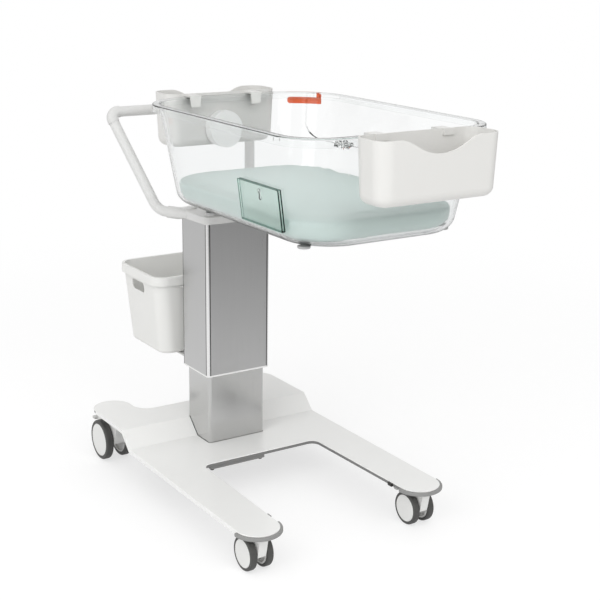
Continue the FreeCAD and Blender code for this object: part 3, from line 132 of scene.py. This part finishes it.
def surface(tree, shader, colour, roughness, height, relief, depth):
    """Feeds a shader's colour and roughness, and raises it by a height, depth metres at the most."""
    connect(tree, colour, shader.inputs["Base Color"])
    connect(tree, roughness, shader.inputs["Roughness"])
    bump = add_node(tree, "ShaderNodeBump", Strength=relief, Distance=depth, Height=height)
    connect(tree, bump.outputs["Normal"], shader.inputs["Normal"])


def dress(material, *names):
    """Gives a finish to solids that keep the shape of the frame."""
    for name in names:
        mesh = nodes[name].data
        mesh.materials.clear()
        mesh.materials.append(material)


clouds_per_metre = 7.0
marks_per_metre = 38.0
mark_dullness = 0.16
swells_per_metre = 24.0
swell_height = 1.6

moulded_skin, takes, gives = effect(
    "moulded_skin",
    [("Colour", "Color", (0.8, 0.8, 0.8, 1.0)), ("Roughness", "Float", 0.4), ("Mottle", "Float", 0.04),
     ("Grain", "Float", 1400.0)],
    [("Colour", "Color"), ("Roughness", "Float"), ("Height", "Float")])
place = place_on(moulded_skin)
cloud = noise_in(moulded_skin, place, clouds_per_metre)
marks = noise_in(moulded_skin, place, marks_per_metre, detail=5.0)
grain = noise_in(moulded_skin, place, takes["Grain"], detail=2.0)
swell = noise_in(moulded_skin, place, swells_per_metre, detail=1.0)
lighter = varied(moulded_skin, 1.0, cloud, takes["Mottle"])
connect(moulded_skin, shade_of(moulded_skin, takes["Colour"], lighter), gives["Colour"])
connect(moulded_skin, varied(moulded_skin, takes["Roughness"], marks, mark_dullness), gives["Roughness"])
connect(moulded_skin, sum_of(moulded_skin, "MULTIPLY_ADD", swell, swell_height, grain), gives["Height"])

specks_per_metre = 55.0
least_dust = 0.15

dust_film, takes, gives = effect(
    "dust_film",
    [("Colour", "Color", (0.8, 0.8, 0.8, 1.0)), ("Dust", "Color", (0.42, 0.40, 0.37, 1.0)),
     ("Amount", "Float", 0.1)],
    [("Colour", "Color")])
normal = dust_film.nodes.new("ShaderNodeNewGeometry").outputs["Normal"]
upward = add_node(dust_film, "ShaderNodeSeparateXYZ", Vector=normal).outputs["Z"]
settled = sum_of(dust_film, "MULTIPLY", sum_of(dust_film, "MAXIMUM", upward, least_dust),
                 noise_in(dust_film, place_on(dust_film), specks_per_metre, detail=6.0))
film = sum_of(dust_film, "MULTIPLY", settled, takes["Amount"])
connect(dust_film, mix_of(dust_film, film, takes["Colour"], takes["Dust"]), gives["Colour"])


def moulded(name, colour, roughness, grain=1400.0, relief=0.12, mottle=0.04, dust=0.0, **plain):
    """A moulded or coated finish: clouded colour, uneven gloss and a fine grain."""
    material, tree, shader = finish(name, colour, roughness, **plain)
    skin = use(tree, moulded_skin, Colour=(*colour, 1.0), Roughness=roughness, Mottle=mottle, Grain=grain)
    tint = skin["Colour"]
    if dust:
        tint = use(tree, dust_film, Colour=tint, Amount=dust)["Colour"]
    surface(tree, shader, tint, skin["Roughness"], skin["Height"], relief, depth=0.0004)
    return material


cover_plastic = moulded("cover_plastic", (0.87, 0.87, 0.855), roughness=0.34, dust=0.03,
                        Coat_Weight=0.35, Coat_Roughness=0.14)
dress(cover_plastic, "base_cover")


# ---------------------------------------------------------------- base frame, bumpers and fasteners
# Under the cover lies a welded steel frame with grey powder coat. Soft grey rubber half rings
# guard the tips of the legs, and dark screws and clips hold the plastic control box and the cover.

frame_paint = moulded("frame_paint", (0.20, 0.20, 0.197), roughness=0.48, grain=900.0, relief=0.25,
                      dust=0.2)
dress(frame_paint, "base_frame")

bumper_rubber = moulded("bumper_rubber", (0.27, 0.27, 0.265), roughness=0.56, grain=1800.0, relief=0.2,
                        dust=0.12)
dress(bumper_rubber, "leg_bumpers")

control_plastic = moulded("control_plastic", (0.25, 0.25, 0.245), roughness=0.5, relief=0.2, dust=0.15)
dress(control_plastic, "control_box")

dark_screw = moulded("dark_screw", (0.05, 0.048, 0.045), roughness=0.35, Metallic=0.8)
dress(dark_screw, "base_fasteners")


# ---------------------------------------------------------------- casters
# Four twin-wheel swivel casters. Each has a pale grey nylon housing on a zinc-plated stem, two
# polyurethane tyres bonded to pale hubs on a steel axle, and a grey brake pedal at the back.

caster_nylon = moulded("caster_nylon", (0.82, 0.82, 0.805), roughness=0.4, grain=1600.0, dust=0.12)
hub_plastic = moulded("hub_plastic", (0.80, 0.80, 0.785), roughness=0.38, dust=0.06)
pedal_plastic = moulded("pedal_plastic", (0.55, 0.55, 0.54), roughness=0.42, grain=1100.0, relief=0.3,
                        dust=0.1)
tyre_rubber = moulded("tyre_rubber", (0.060, 0.060, 0.058), roughness=0.55, grain=1700.0, relief=0.3,
                      mottle=0.25, dust=0.22)
stem_zinc = moulded("stem_zinc", (0.55, 0.55, 0.54), roughness=0.34, mottle=0.15, Metallic=0.9)
axle_steel = moulded("axle_steel", (0.62, 0.62, 0.61), roughness=0.28, mottle=0.1, Metallic=1.0)
dress(stem_zinc, "caster_stems")
for caster in ("rear_left", "rear_right", "front_left", "front_right"):
    dress(caster_nylon, caster + "_caster_housing")
    dress(axle_steel, caster + "_caster_axle")
    dress(pedal_plastic, caster + "_caster_brake_pedal")
    dress(tyre_rubber, caster + "_caster_outer_tyre", caster + "_caster_inner_tyre")
    dress(hub_plastic, caster + "_caster_outer_hub", caster + "_caster_inner_hub")


# ---------------------------------------------------------------- lifting column
# A telescopic column. The lower tube and the wider sleeve are folded from stainless sheet that was
# brushed upright. A white plastic ring covers the sleeve's foot, and bright strips its corners. A
# painted dark line down both edges of each strip is painted shade for the gap where it meets the sheet.

def streaks_in(tree, where, squeeze, scale, detail):
    """A noise drawn out along the height, into upright streaks."""
    node = add_node(tree, "ShaderNodeMapping", {"vector_type": "POINT"}, Vector=where)
    node.inputs["Scale"].default_value = (1.0, 1.0, squeeze)
    return noise_in(tree, node.outputs[0], scale, detail)


fine_share = 0.4
coarse_share = 0.6
line_dullness = 0.2
wipes_per_metre = 9.0
wipe_dullness = 0.12

brushed_sheet, takes, gives = effect(
    "brushed_sheet",
    [("Colour", "Color", (0.5, 0.5, 0.5, 1.0)), ("Roughness", "Float", 0.3), ("Depth", "Float", 0.08)],
    [("Colour", "Color"), ("Roughness", "Float"), ("Height", "Float")])
place = place_on(brushed_sheet)
fine = streaks_in(brushed_sheet, place, squeeze=0.012, scale=1500.0, detail=3.0)
coarse = streaks_in(brushed_sheet, place, squeeze=0.03, scale=160.0, detail=2.0)
lines = sum_of(brushed_sheet, "MULTIPLY_ADD", coarse, coarse_share,
               sum_of(brushed_sheet, "MULTIPLY", fine, fine_share))
wiped = noise_in(brushed_sheet, place, wipes_per_metre, detail=4.0)
lighter = varied(brushed_sheet, 1.0, lines, takes["Depth"])
duller = varied(brushed_sheet, takes["Roughness"], lines, line_dullness)
connect(brushed_sheet, shade_of(brushed_sheet, takes["Colour"], lighter), gives["Colour"])
connect(brushed_sheet, varied(brushed_sheet, duller, wiped, wipe_dullness), gives["Roughness"])
connect(brushed_sheet, lines, gives["Height"])


def brushed(name, colour, roughness, depth, relief):
    """Brushed metal with its lines upright."""
    material, tree, shader = finish(name, colour, roughness, Metallic=1.0)
    sheet = use(tree, brushed_sheet, Colour=(*colour, 1.0), Roughness=roughness, Depth=depth)
    surface(tree, shader, sheet["Colour"], sheet["Roughness"], sheet["Height"], relief, depth=0.0002)
    return material


def inset_from(tree, name, axes):
    """How far in from the sides of a node's box a place lies, along each of the axes."""
    low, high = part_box(name)
    offset = add_node(tree, "ShaderNodeVectorMath", {"operation": "SUBTRACT"}, Vector=place_on(tree))
    offset.inputs[1].default_value = (low + high) / 2
    along = add_node(tree, "ShaderNodeSeparateXYZ", Vector=offset.outputs[0]).outputs
    half = dict(zip("XYZ", (high - low) / 2))
    return [sum_of(tree, "SUBTRACT", half[axis], sum_of(tree, "ABSOLUTE", along[axis])) for axis in axes]


def marked(material, mask, colour):
    """Lays a colour over a material's own, where a mask is 1."""
    tree = material.node_tree
    socket = tree.nodes["Principled BSDF"].inputs["Base Color"]
    connect(tree, mix_of(tree, mask, socket.links[0].from_socket, (*colour, 1.0)), socket)


sleeve_steel = brushed("sleeve_steel", (0.60, 0.60, 0.60), roughness=0.32, depth=0.08, relief=0.05)
tube_steel = brushed("tube_steel", (0.62, 0.62, 0.615), roughness=0.22, depth=0.05, relief=0.03)
strip_metal = brushed("strip_metal", (0.88, 0.88, 0.88), roughness=0.16, depth=0.04, relief=0.03)
dress(sleeve_steel, "column_sleeve")
dress(tube_steel, "lower_tube")
dress(strip_metal, "sleeve_corner_strips")

# Past this width from its corner, each strip's edge gets a painted dark shade for the gap where it meets
# the sleeve's sheet.
bright_width = 0.0062
painted_gap_shade = (0.10, 0.10, 0.10)
tree = strip_metal.node_tree
from_corner = sum_of(tree, "MAXIMUM", *inset_from(tree, "sleeve_corner_strips", "XY"))
marked(strip_metal, sum_of(tree, "GREATER_THAN", from_corner, bright_width), painted_gap_shade)

glide_plastic = moulded("glide_plastic", (0.045, 0.045, 0.047), roughness=0.45)
motor_shell = moulded("motor_shell", (0.12, 0.12, 0.12), roughness=0.45, relief=0.2)
rod_steel = moulded("rod_steel", (0.68, 0.68, 0.67), roughness=0.18, mottle=0.06, Metallic=1.0)
trim_plastic = moulded("trim_plastic", (0.86, 0.86, 0.85), roughness=0.38)
dress(glide_plastic, "tube_glides")
dress(motor_shell, "lift_motor")
dress(rod_steel, "lift_rod")
dress(trim_plastic, "sleeve_trim")


# ---------------------------------------------------------------- top bracket, push handle, bin bracket
# The bracket is a casting on the column's head, held down by domed bolts. The handle is a bent
# tube that plugs into it, with a plastic fitting round each upper corner, and the bin's bracket is
# bent from steel plate. All the metal has the same smooth pale powder coat.

bracket_paint = moulded("bracket_paint", (0.67, 0.67, 0.66), roughness=0.34, grain=700.0, relief=0.16,
                        dust=0.05, Coat_Weight=0.2, Coat_Roughness=0.2)
dress(bracket_paint, "top_bracket", "push_handle", "bin_bracket", "bracket_bolts")
elbow_plastic = moulded("elbow_plastic", (0.65, 0.65, 0.64), roughness=0.38)
dress(elbow_plastic, "handle_elbows")


# ---------------------------------------------------------------- tub cradle and tilt pin
# The cradle that carries the tub is a welded steel frame in the bracket's paint. It turns on a
# polished cross pin between the bracket's two ears.

dress(bracket_paint, "tub_cradle")
dress(rod_steel, "tilt_pin")


# ---------------------------------------------------------------- tub, drop-down side, hinge pins
# One deep-drawn tub of clear plastic with a rolled rim, on four soft feet. A panel of the far side
# is cut out and hangs on two white plastic hinge pins. Low down, the underside has a painted grey
# shade that stands in for the dark things lying under the thick plastic, seen through it.

sheet_gloss = {"Transmission_Weight": 1.0, "IOR": 1.36, "Specular_IOR_Level": 0.12}
grazing_power = 8.0
smears_per_metre = 30.0
smear_dullness = 0.012
waves_per_metre = 16.0


def shader_mix(tree, share, first, second):
    """Two shaders mixed: a share of 0 gives the first, and 1 the second."""
    node = add_node(tree, "ShaderNodeMixShader", Fac=share)
    for shader, socket in zip((first, second), node.inputs[1:]):
        connect(tree, shader.outputs[0], socket)
    return node


def see_through(name, tint, edge_on_shade, lamps, absorb, density):
    """A clear plastic that lets lamps through, and darkens where it is seen along its surface: a painted
    shade for the dark outlines of its walls.
    """
    material, tree, shader = finish(name, tint, 0.0, **sheet_gloss)
    along = add_node(tree, "ShaderNodeLayerWeight", Blend=0.5).outputs["Facing"]
    # Seen edge-on, the colour turns to a painted dark shade that stands in for the dark outlines of the
    # walls.
    edge_on = sum_of(tree, "POWER", along, grazing_power)
    colour = mix_of(tree, edge_on, (*tint, 1.0), (*edge_on_shade, 1.0))
    place = place_on(tree)
    smears = noise_in(tree, place, smears_per_metre, detail=5.0)
    waves = noise_in(tree, place, waves_per_metre, detail=2.0)
    smeared = sum_of(tree, "MULTIPLY", smears, smear_dullness)
    surface(tree, shader, colour, smeared, waves, relief=0.02, depth=0.0006)
    shadow_ray = tree.nodes.new("ShaderNodeLightPath").outputs["Is Shadow Ray"]
    lamp_light = add_node(tree, "ShaderNodeBsdfTransparent", Color=(*lamps, 1.0))
    inside = add_node(tree, "ShaderNodeVolumeAbsorption", Color=(*absorb, 1.0), Density=density)
    result = tree.nodes["Material Output"]
    connect(tree, shader_mix(tree, shadow_ray, shader, lamp_light).outputs[0], result.inputs["Surface"])
    connect(tree, inside.outputs[0], result.inputs["Volume"])
    return material


def ramped(tree, value, start, end, low=0.0, high=1.0, kind="LINEAR"):
    """A value that goes from low to high while another goes from start to end."""
    return add_node(tree, "ShaderNodeMapRange", {"interpolation_type": kind}, Value=value, From_Min=start,
                    From_Max=end, To_Min=low, To_Max=high).outputs["Result"]


def reach_along(tree, vector, axis):
    """How far a vector reaches along an axis."""
    node = add_node(tree, "ShaderNodeVectorMath", {"operation": "DOT_PRODUCT"}, Vector=vector)
    node.inputs[1].default_value = axis
    return node.outputs["Value"]


# The tub's walls turn a painted near-black shade where they are seen edge-on.
tub_plastic = see_through("tub_plastic", tint=(0.99, 0.995, 0.995), edge_on_shade=(0.10, 0.115, 0.115),
                          lamps=(0.92, 0.925, 0.925), absorb=(0.55, 0.60, 0.60), density=7.0)
# Faces that look down, in the lowest 5 cm of the tub, get a painted grey shade for its dark outline.
underside_shade_height = 0.05
underside_shade_grey = (0.12, 0.14, 0.14)
straight_down = (0.0, 0.0, -1.0)
tree = tub_plastic.node_tree
outward = tree.nodes.new("ShaderNodeTexCoord").outputs["Normal"]
underneath = ramped(tree, reach_along(tree, outward, straight_down), start=0.50, end=0.88)
height = add_node(tree, "ShaderNodeSeparateXYZ", Vector=place_on(tree)).outputs["Z"]
low_down = sum_of(tree, "LESS_THAN", height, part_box("tub")[0].z + underside_shade_height)
marked(tub_plastic, sum_of(tree, "MULTIPLY", low_down, underneath), underside_shade_grey)
dress(tub_plastic, "tub", "side_door")

dress(trim_plastic, "door_hinge_pins")
foot_rubber = moulded("foot_rubber", (0.40, 0.40, 0.40), roughness=0.6, grain=1500.0, relief=0.25, dust=0.1)
dress(foot_rubber, "tub_feet")


# ---------------------------------------------------------------- latch of the drop-down side
# A bright orange bar of moulded plastic that slides round the rim's corner by its thumb tab. The
# key behind it runs in a slot of the panel's rim.

latch_plastic = moulded("latch_plastic", (0.76, 0.090, 0.001), roughness=0.36, grain=1200.0, mottle=0.08,
                        Coat_Weight=0.15)
dress(latch_plastic, "door_latch")


# ---------------------------------------------------------------- mattress
# A foam slab in a wipe-clean mint cover: a knitted cloth with a polyurethane film on it, pulled
# tight round the foam and welded along a low seam, so its top is slightly crowned.

cover_shrink = 0.0015
cover_swell = 0.0030
cover_pull = 0.0006
cover_voxel = 0.0055
cover_pressure = 4.0
cover_stretch = 20.0
cover_stiffness = 2.0
filling_steps = 20


def own_object(name, mesh):
    """A new object of the model."""
    thing = bpy.data.objects.new(name, mesh)
    bpy.context.scene.collection.objects.link(thing)
    return thing


def baked(thing):
    """Applies everything that modifies an object to its mesh."""
    graph = bpy.context.evaluated_depsgraph_get()
    mesh = bpy.data.meshes.new_from_object(thing.evaluated_get(graph))
    thing.modifiers.clear()
    thing.data = mesh


slab_low, slab_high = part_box("mattress")
middle = (slab_low + slab_high) / 2
size = slab_high - slab_low
slab = own_object("mattress_pad", nodes["mattress"].data.copy())
slab.data.materials.clear()
for vertex in slab.data.vertices:
    for axis in range(3):
        inward = 1.0 - 2.0 * cover_shrink / size[axis]
        vertex.co[axis] = middle[axis] + (vertex.co[axis] - middle[axis]) * inward
even = slab.modifiers.new("even", "REMESH")
even.mode = "VOXEL"
even.voxel_size = cover_voxel
baked(slab)
soft = slab.modifiers.new("soft", "SMOOTH")
soft.factor = 0.5
soft.iterations = 4
baked(slab)

start = [vertex.co.copy() for vertex in slab.data.vertices]
fill = slab.modifiers.new("fill", "CLOTH")
fill.settings.quality = 5
fill.settings.mass = 0.3
fill.settings.tension_stiffness = cover_stretch
fill.settings.compression_stiffness = cover_stretch
fill.settings.bending_stiffness = cover_stiffness
fill.settings.use_pressure = True
fill.settings.uniform_pressure_force = cover_pressure
fill.settings.effector_weights.gravity = 0.0
fill.point_cache.frame_start = 1
fill.point_cache.frame_end = filling_steps
for step in range(1, filling_steps + 1):
    bpy.context.scene.frame_set(step)
baked(slab)
bpy.context.scene.frame_set(1)
for vertex, at_rest in zip(slab.data.vertices, start):
    push = vertex.co - at_rest
    most = cover_swell if push.dot(vertex.normal) > 0.0 else cover_pull
    if push.length > most:
        push = push.normalized() * most
    vertex.co = at_rest + push

for vertex in slab.data.vertices:
    vertex.co.z = max(vertex.co.z, slab_low.z)
for face in slab.data.polygons:
    face.use_smooth = True
finer = slab.modifiers.new("finer", "SUBSURF")
finer.levels = 1
finer.render_levels = 1

cover_mint = (0.59, 0.695, 0.665)
stitches_per_metre = 900.0
knit_dullness = 0.525
puckers_per_metre = 11.0
pucker_height = 6.0
pucker_shade = 0.07
pucker_dullness = 0.15

knit, takes, gives = effect(
    "coated_knit",
    [("Colour", "Color", (0.6, 0.7, 0.68, 1.0)), ("Pitch", "Float", 900.0)],
    [("Colour", "Color"), ("Roughness", "Float"), ("Height", "Float")])
place = place_on(knit)
ribs = [add_node(knit, "ShaderNodeTexWave", {"wave_type": "BANDS", "bands_direction": way}, Vector=place,
                 Scale=takes["Pitch"], Distortion=1.2, Detail=1.0).outputs["Fac"] for way in "XYZ"]
loops = sum_of(knit, "MULTIPLY", sum_of(knit, "MULTIPLY", ribs[0], ribs[1]), ribs[2])
puckers = noise_in(knit, place, puckers_per_metre)
connect(knit, shade_of(knit, takes["Colour"], varied(knit, 1.0, puckers, pucker_shade)), gives["Colour"])
connect(knit, varied(knit, knit_dullness, puckers, pucker_dullness), gives["Roughness"])
connect(knit, sum_of(knit, "MULTIPLY_ADD", puckers, pucker_height, loops), gives["Height"])

mint_cover, tree, shader = finish("mint_cover", cover_mint, 0.5, Sheen_Weight=0.25, Sheen_Roughness=0.4)
cloth = use(tree, knit, Colour=(*cover_mint, 1.0), Pitch=stitches_per_metre)
surface(tree, shader, cloth["Colour"], cloth["Roughness"], cloth["Height"], relief=0.25, depth=0.0006)
slab.data.materials.append(mint_cover)
dress(mint_cover, "mattress")
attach(slab, "mattress")
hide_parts("mattress")


# ---------------------------------------------------------------- trays and their spacers
# Two hanging trays of thick white plastic with a dip in the front wall and hooks that go over the
# tub's rim. A round white spacer on each keeps it off the tub's wall.

tray_plastic = moulded("tray_plastic", (0.70, 0.695, 0.675), roughness=0.40, Coat_Weight=0.12,
                       Coat_Roughness=0.3)
dress(tray_plastic, "foot_tray", "head_tray")
spacer_plastic = moulded("spacer_plastic", (0.90, 0.90, 0.89), roughness=0.32)
dress(spacer_plastic, "foot_tray_spacer", "head_tray_spacer")


# ---------------------------------------------------------------- storage bin
# A tapered bin of moulded white polypropylene with a matt grain, a turned-down rim and two hand
# holes. It hangs on its bracket behind the column.

bin_plastic = moulded("bin_plastic", (0.80, 0.80, 0.78), roughness=0.44, grain=1000.0)
dress(bin_plastic, "storage_bin")


# ---------------------------------------------------------------- card holder
# A pocket of two acrylic sheets, joined at the foot and open at the top, that hooks on the tub's
# side. The clear sheet is tinted green, which shows deepest at its edges and along its border.

# Seen edge-on, the sheet turns a painted dark green shade.
card_acrylic = see_through("card_acrylic", tint=(0.95, 0.985, 0.97), edge_on_shade=(0.14, 0.34, 0.27),
                           lamps=(0.90, 0.95, 0.93), absorb=(0.15, 0.42, 0.34), density=16.0)
edge_green = (0.04, 0.20, 0.15)
border_green = (0.16, 0.34, 0.28)
border_width = 0.0022
across_sheet = (0.0, 1.0, 0.0)
tree = card_acrylic.node_tree
outward = tree.nodes.new("ShaderNodeTexCoord").outputs["Normal"]
flatness = sum_of(tree, "ABSOLUTE", reach_along(tree, outward, across_sheet))
marked(card_acrylic, ramped(tree, flatness, start=0.75, end=0.45), edge_green)
from_side = sum_of(tree, "MINIMUM", *inset_from(tree, "card_holder", "XZ"))
marked(card_acrylic, sum_of(tree, "LESS_THAN", from_side, border_width), border_green)
dress(card_acrylic, "card_holder")


# ---------------------------------------------------------------- studio
# A wide white floor that runs to the horizon, three soft boxes and a pale room round them. In
# mirrors alone, one side of the floor and the room is dimmer, as from a grey flag beside the
# bassinet, which gives polished steel its contrast. Mirrors don't show the lamps.

flag_side = (0.80, 0.60, 0.0)
floor_radius = 40.0
floor_white = (0.86, 0.86, 0.86, 1.0)
lit_white = (1.0, 1.0, 1.0, 1.0)
shadow_lift = 0.55
near_glow = 1.15
far_glow = 1.0
fade_start = 1.0
fade_end = 3.0

floor_mesh = bpy.data.meshes.new("floor")
shape = bmesh.new()
bmesh.ops.create_circle(shape, cap_ends=True, radius=floor_radius, segments=96)
shape.to_mesh(floor_mesh)
shape.free()
floor = own_object("floor", floor_mesh)
floor_paint = bpy.data.materials.new("floor_paint")
floor_paint.use_nodes = True
tree = floor_paint.node_tree
tree.nodes.remove(tree.nodes["Principled BSDF"])
rays = tree.nodes.new("ShaderNodeLightPath").outputs
seen = sum_of(tree, "MAXIMUM", rays["Is Camera Ray"], rays["Is Glossy Ray"])
seen = sum_of(tree, "MAXIMUM", seen, rays["Is Transmission Ray"])
reflected = sum_of(tree, "SUBTRACT", rays["Is Glossy Ray"], rays["Is Transmission Ray"])
spot = place_on(tree)
flag = ramped(tree, reach_along(tree, spot, flag_side), start=0.1, end=1.1, low=0.24, high=0.72,
              kind="SMOOTHSTEP")
mirrored = sum_of(tree, "MULTIPLY", flag, sum_of(tree, "MAXIMUM", reflected, 0.0))
matt = add_node(tree, "ShaderNodeBsdfDiffuse", Color=floor_white)
close, far = [add_node(tree, "ShaderNodeEmission", Color=lit_white,
                       Strength=sum_of(tree, "SUBTRACT", glow, mirrored)) for glow in (near_glow, far_glow)]
near = shader_mix(tree, sum_of(tree, "MULTIPLY", seen, shadow_lift), matt, close)
away = add_node(tree, "ShaderNodeVectorMath", {"operation": "LENGTH"}, Vector=spot).outputs["Value"]
fade = ramped(tree, away, fade_start, fade_end, kind="SMOOTHSTEP")
ground = shader_mix(tree, sum_of(tree, "MULTIPLY", fade, seen), near, far)
connect(tree, ground.outputs[0], tree.nodes["Material Output"].inputs["Surface"])
floor_mesh.materials.append(floor_paint)

room_glow = 0.78
open_side_glow = 0.86
flag_side_glow = 0.44
room = bpy.data.worlds.new("room")
bpy.context.scene.world = room
room.use_nodes = True
tree = room.node_tree
sky = tree.nodes["Background"]
way = tree.nodes.new("ShaderNodeTexCoord").outputs["Generated"]
dimmer = ramped(tree, reach_along(tree, way, flag_side), start=-0.4, end=0.9, low=open_side_glow,
                high=flag_side_glow, kind="SMOOTHSTEP")
mirror_ray = tree.nodes.new("ShaderNodeLightPath").outputs["Is Glossy Ray"]
dimmed = sum_of(tree, "MULTIPLY", mirror_ray, sum_of(tree, "SUBTRACT", dimmer, room_glow))
connect(tree, sum_of(tree, "ADD", dimmed, room_glow), sky.inputs["Strength"])
sky.inputs["Color"].default_value = lit_white

lamp_target = Vector((0.0, 0.0, 0.55))


def soft_box(name, at, side, watts):
    """A square lamp that points at the middle of the bassinet, and that mirrors don't show."""
    lamp = bpy.data.lights.new(name, "AREA")
    lamp.shape = "SQUARE"
    lamp.size = side
    lamp.energy = watts
    stand = own_object(name, lamp)
    stand.location = at
    stand.visible_glossy = False
    stand.rotation_mode = "QUATERNION"
    stand.rotation_quaternion = (lamp_target - Vector(at)).to_track_quat("-Z", "Y")


soft_box("side_box", at=(1.3, -3.0, 2.2), side=2.2, watts=25.0)
soft_box("top_box", at=(1.4, -1.8, 3.2), side=2.4, watts=20.0)
soft_box("front_box", at=(2.7, -0.3, 2.3), side=1.8, watts=22.0)

camera_place = (2.3465, -1.472, 1.285)
azimuth, elevation, roll = math.radians(56.93), math.radians(15.82), math.radians(0.738)
focal_pixels = 1268.0
frame_pixels = 600.0
level_out = math.cos(elevation)
back = Vector((math.sin(azimuth) * level_out, -math.cos(azimuth) * level_out, math.sin(elevation)))
level = Vector((-back.y, back.x, 0.0)).normalized()
upright = back.cross(level)
right = math.cos(roll) * level + math.sin(roll) * upright
up = math.cos(roll) * upright - math.sin(roll) * level
lens = bpy.data.cameras.new("camera")
lens.sensor_width = 36.0
lens.lens = lens.sensor_width * focal_pixels / frame_pixels
lens.clip_start = 0.05
lens.clip_end = 200.0
camera = own_object("camera", lens)
turn = Matrix((right, up, back)).transposed().to_4x4()
camera.matrix_world = Matrix.Translation(camera_place) @ turn
bpy.context.scene.camera = camera
bpy.context.scene.view_settings.view_transform = "Standard"
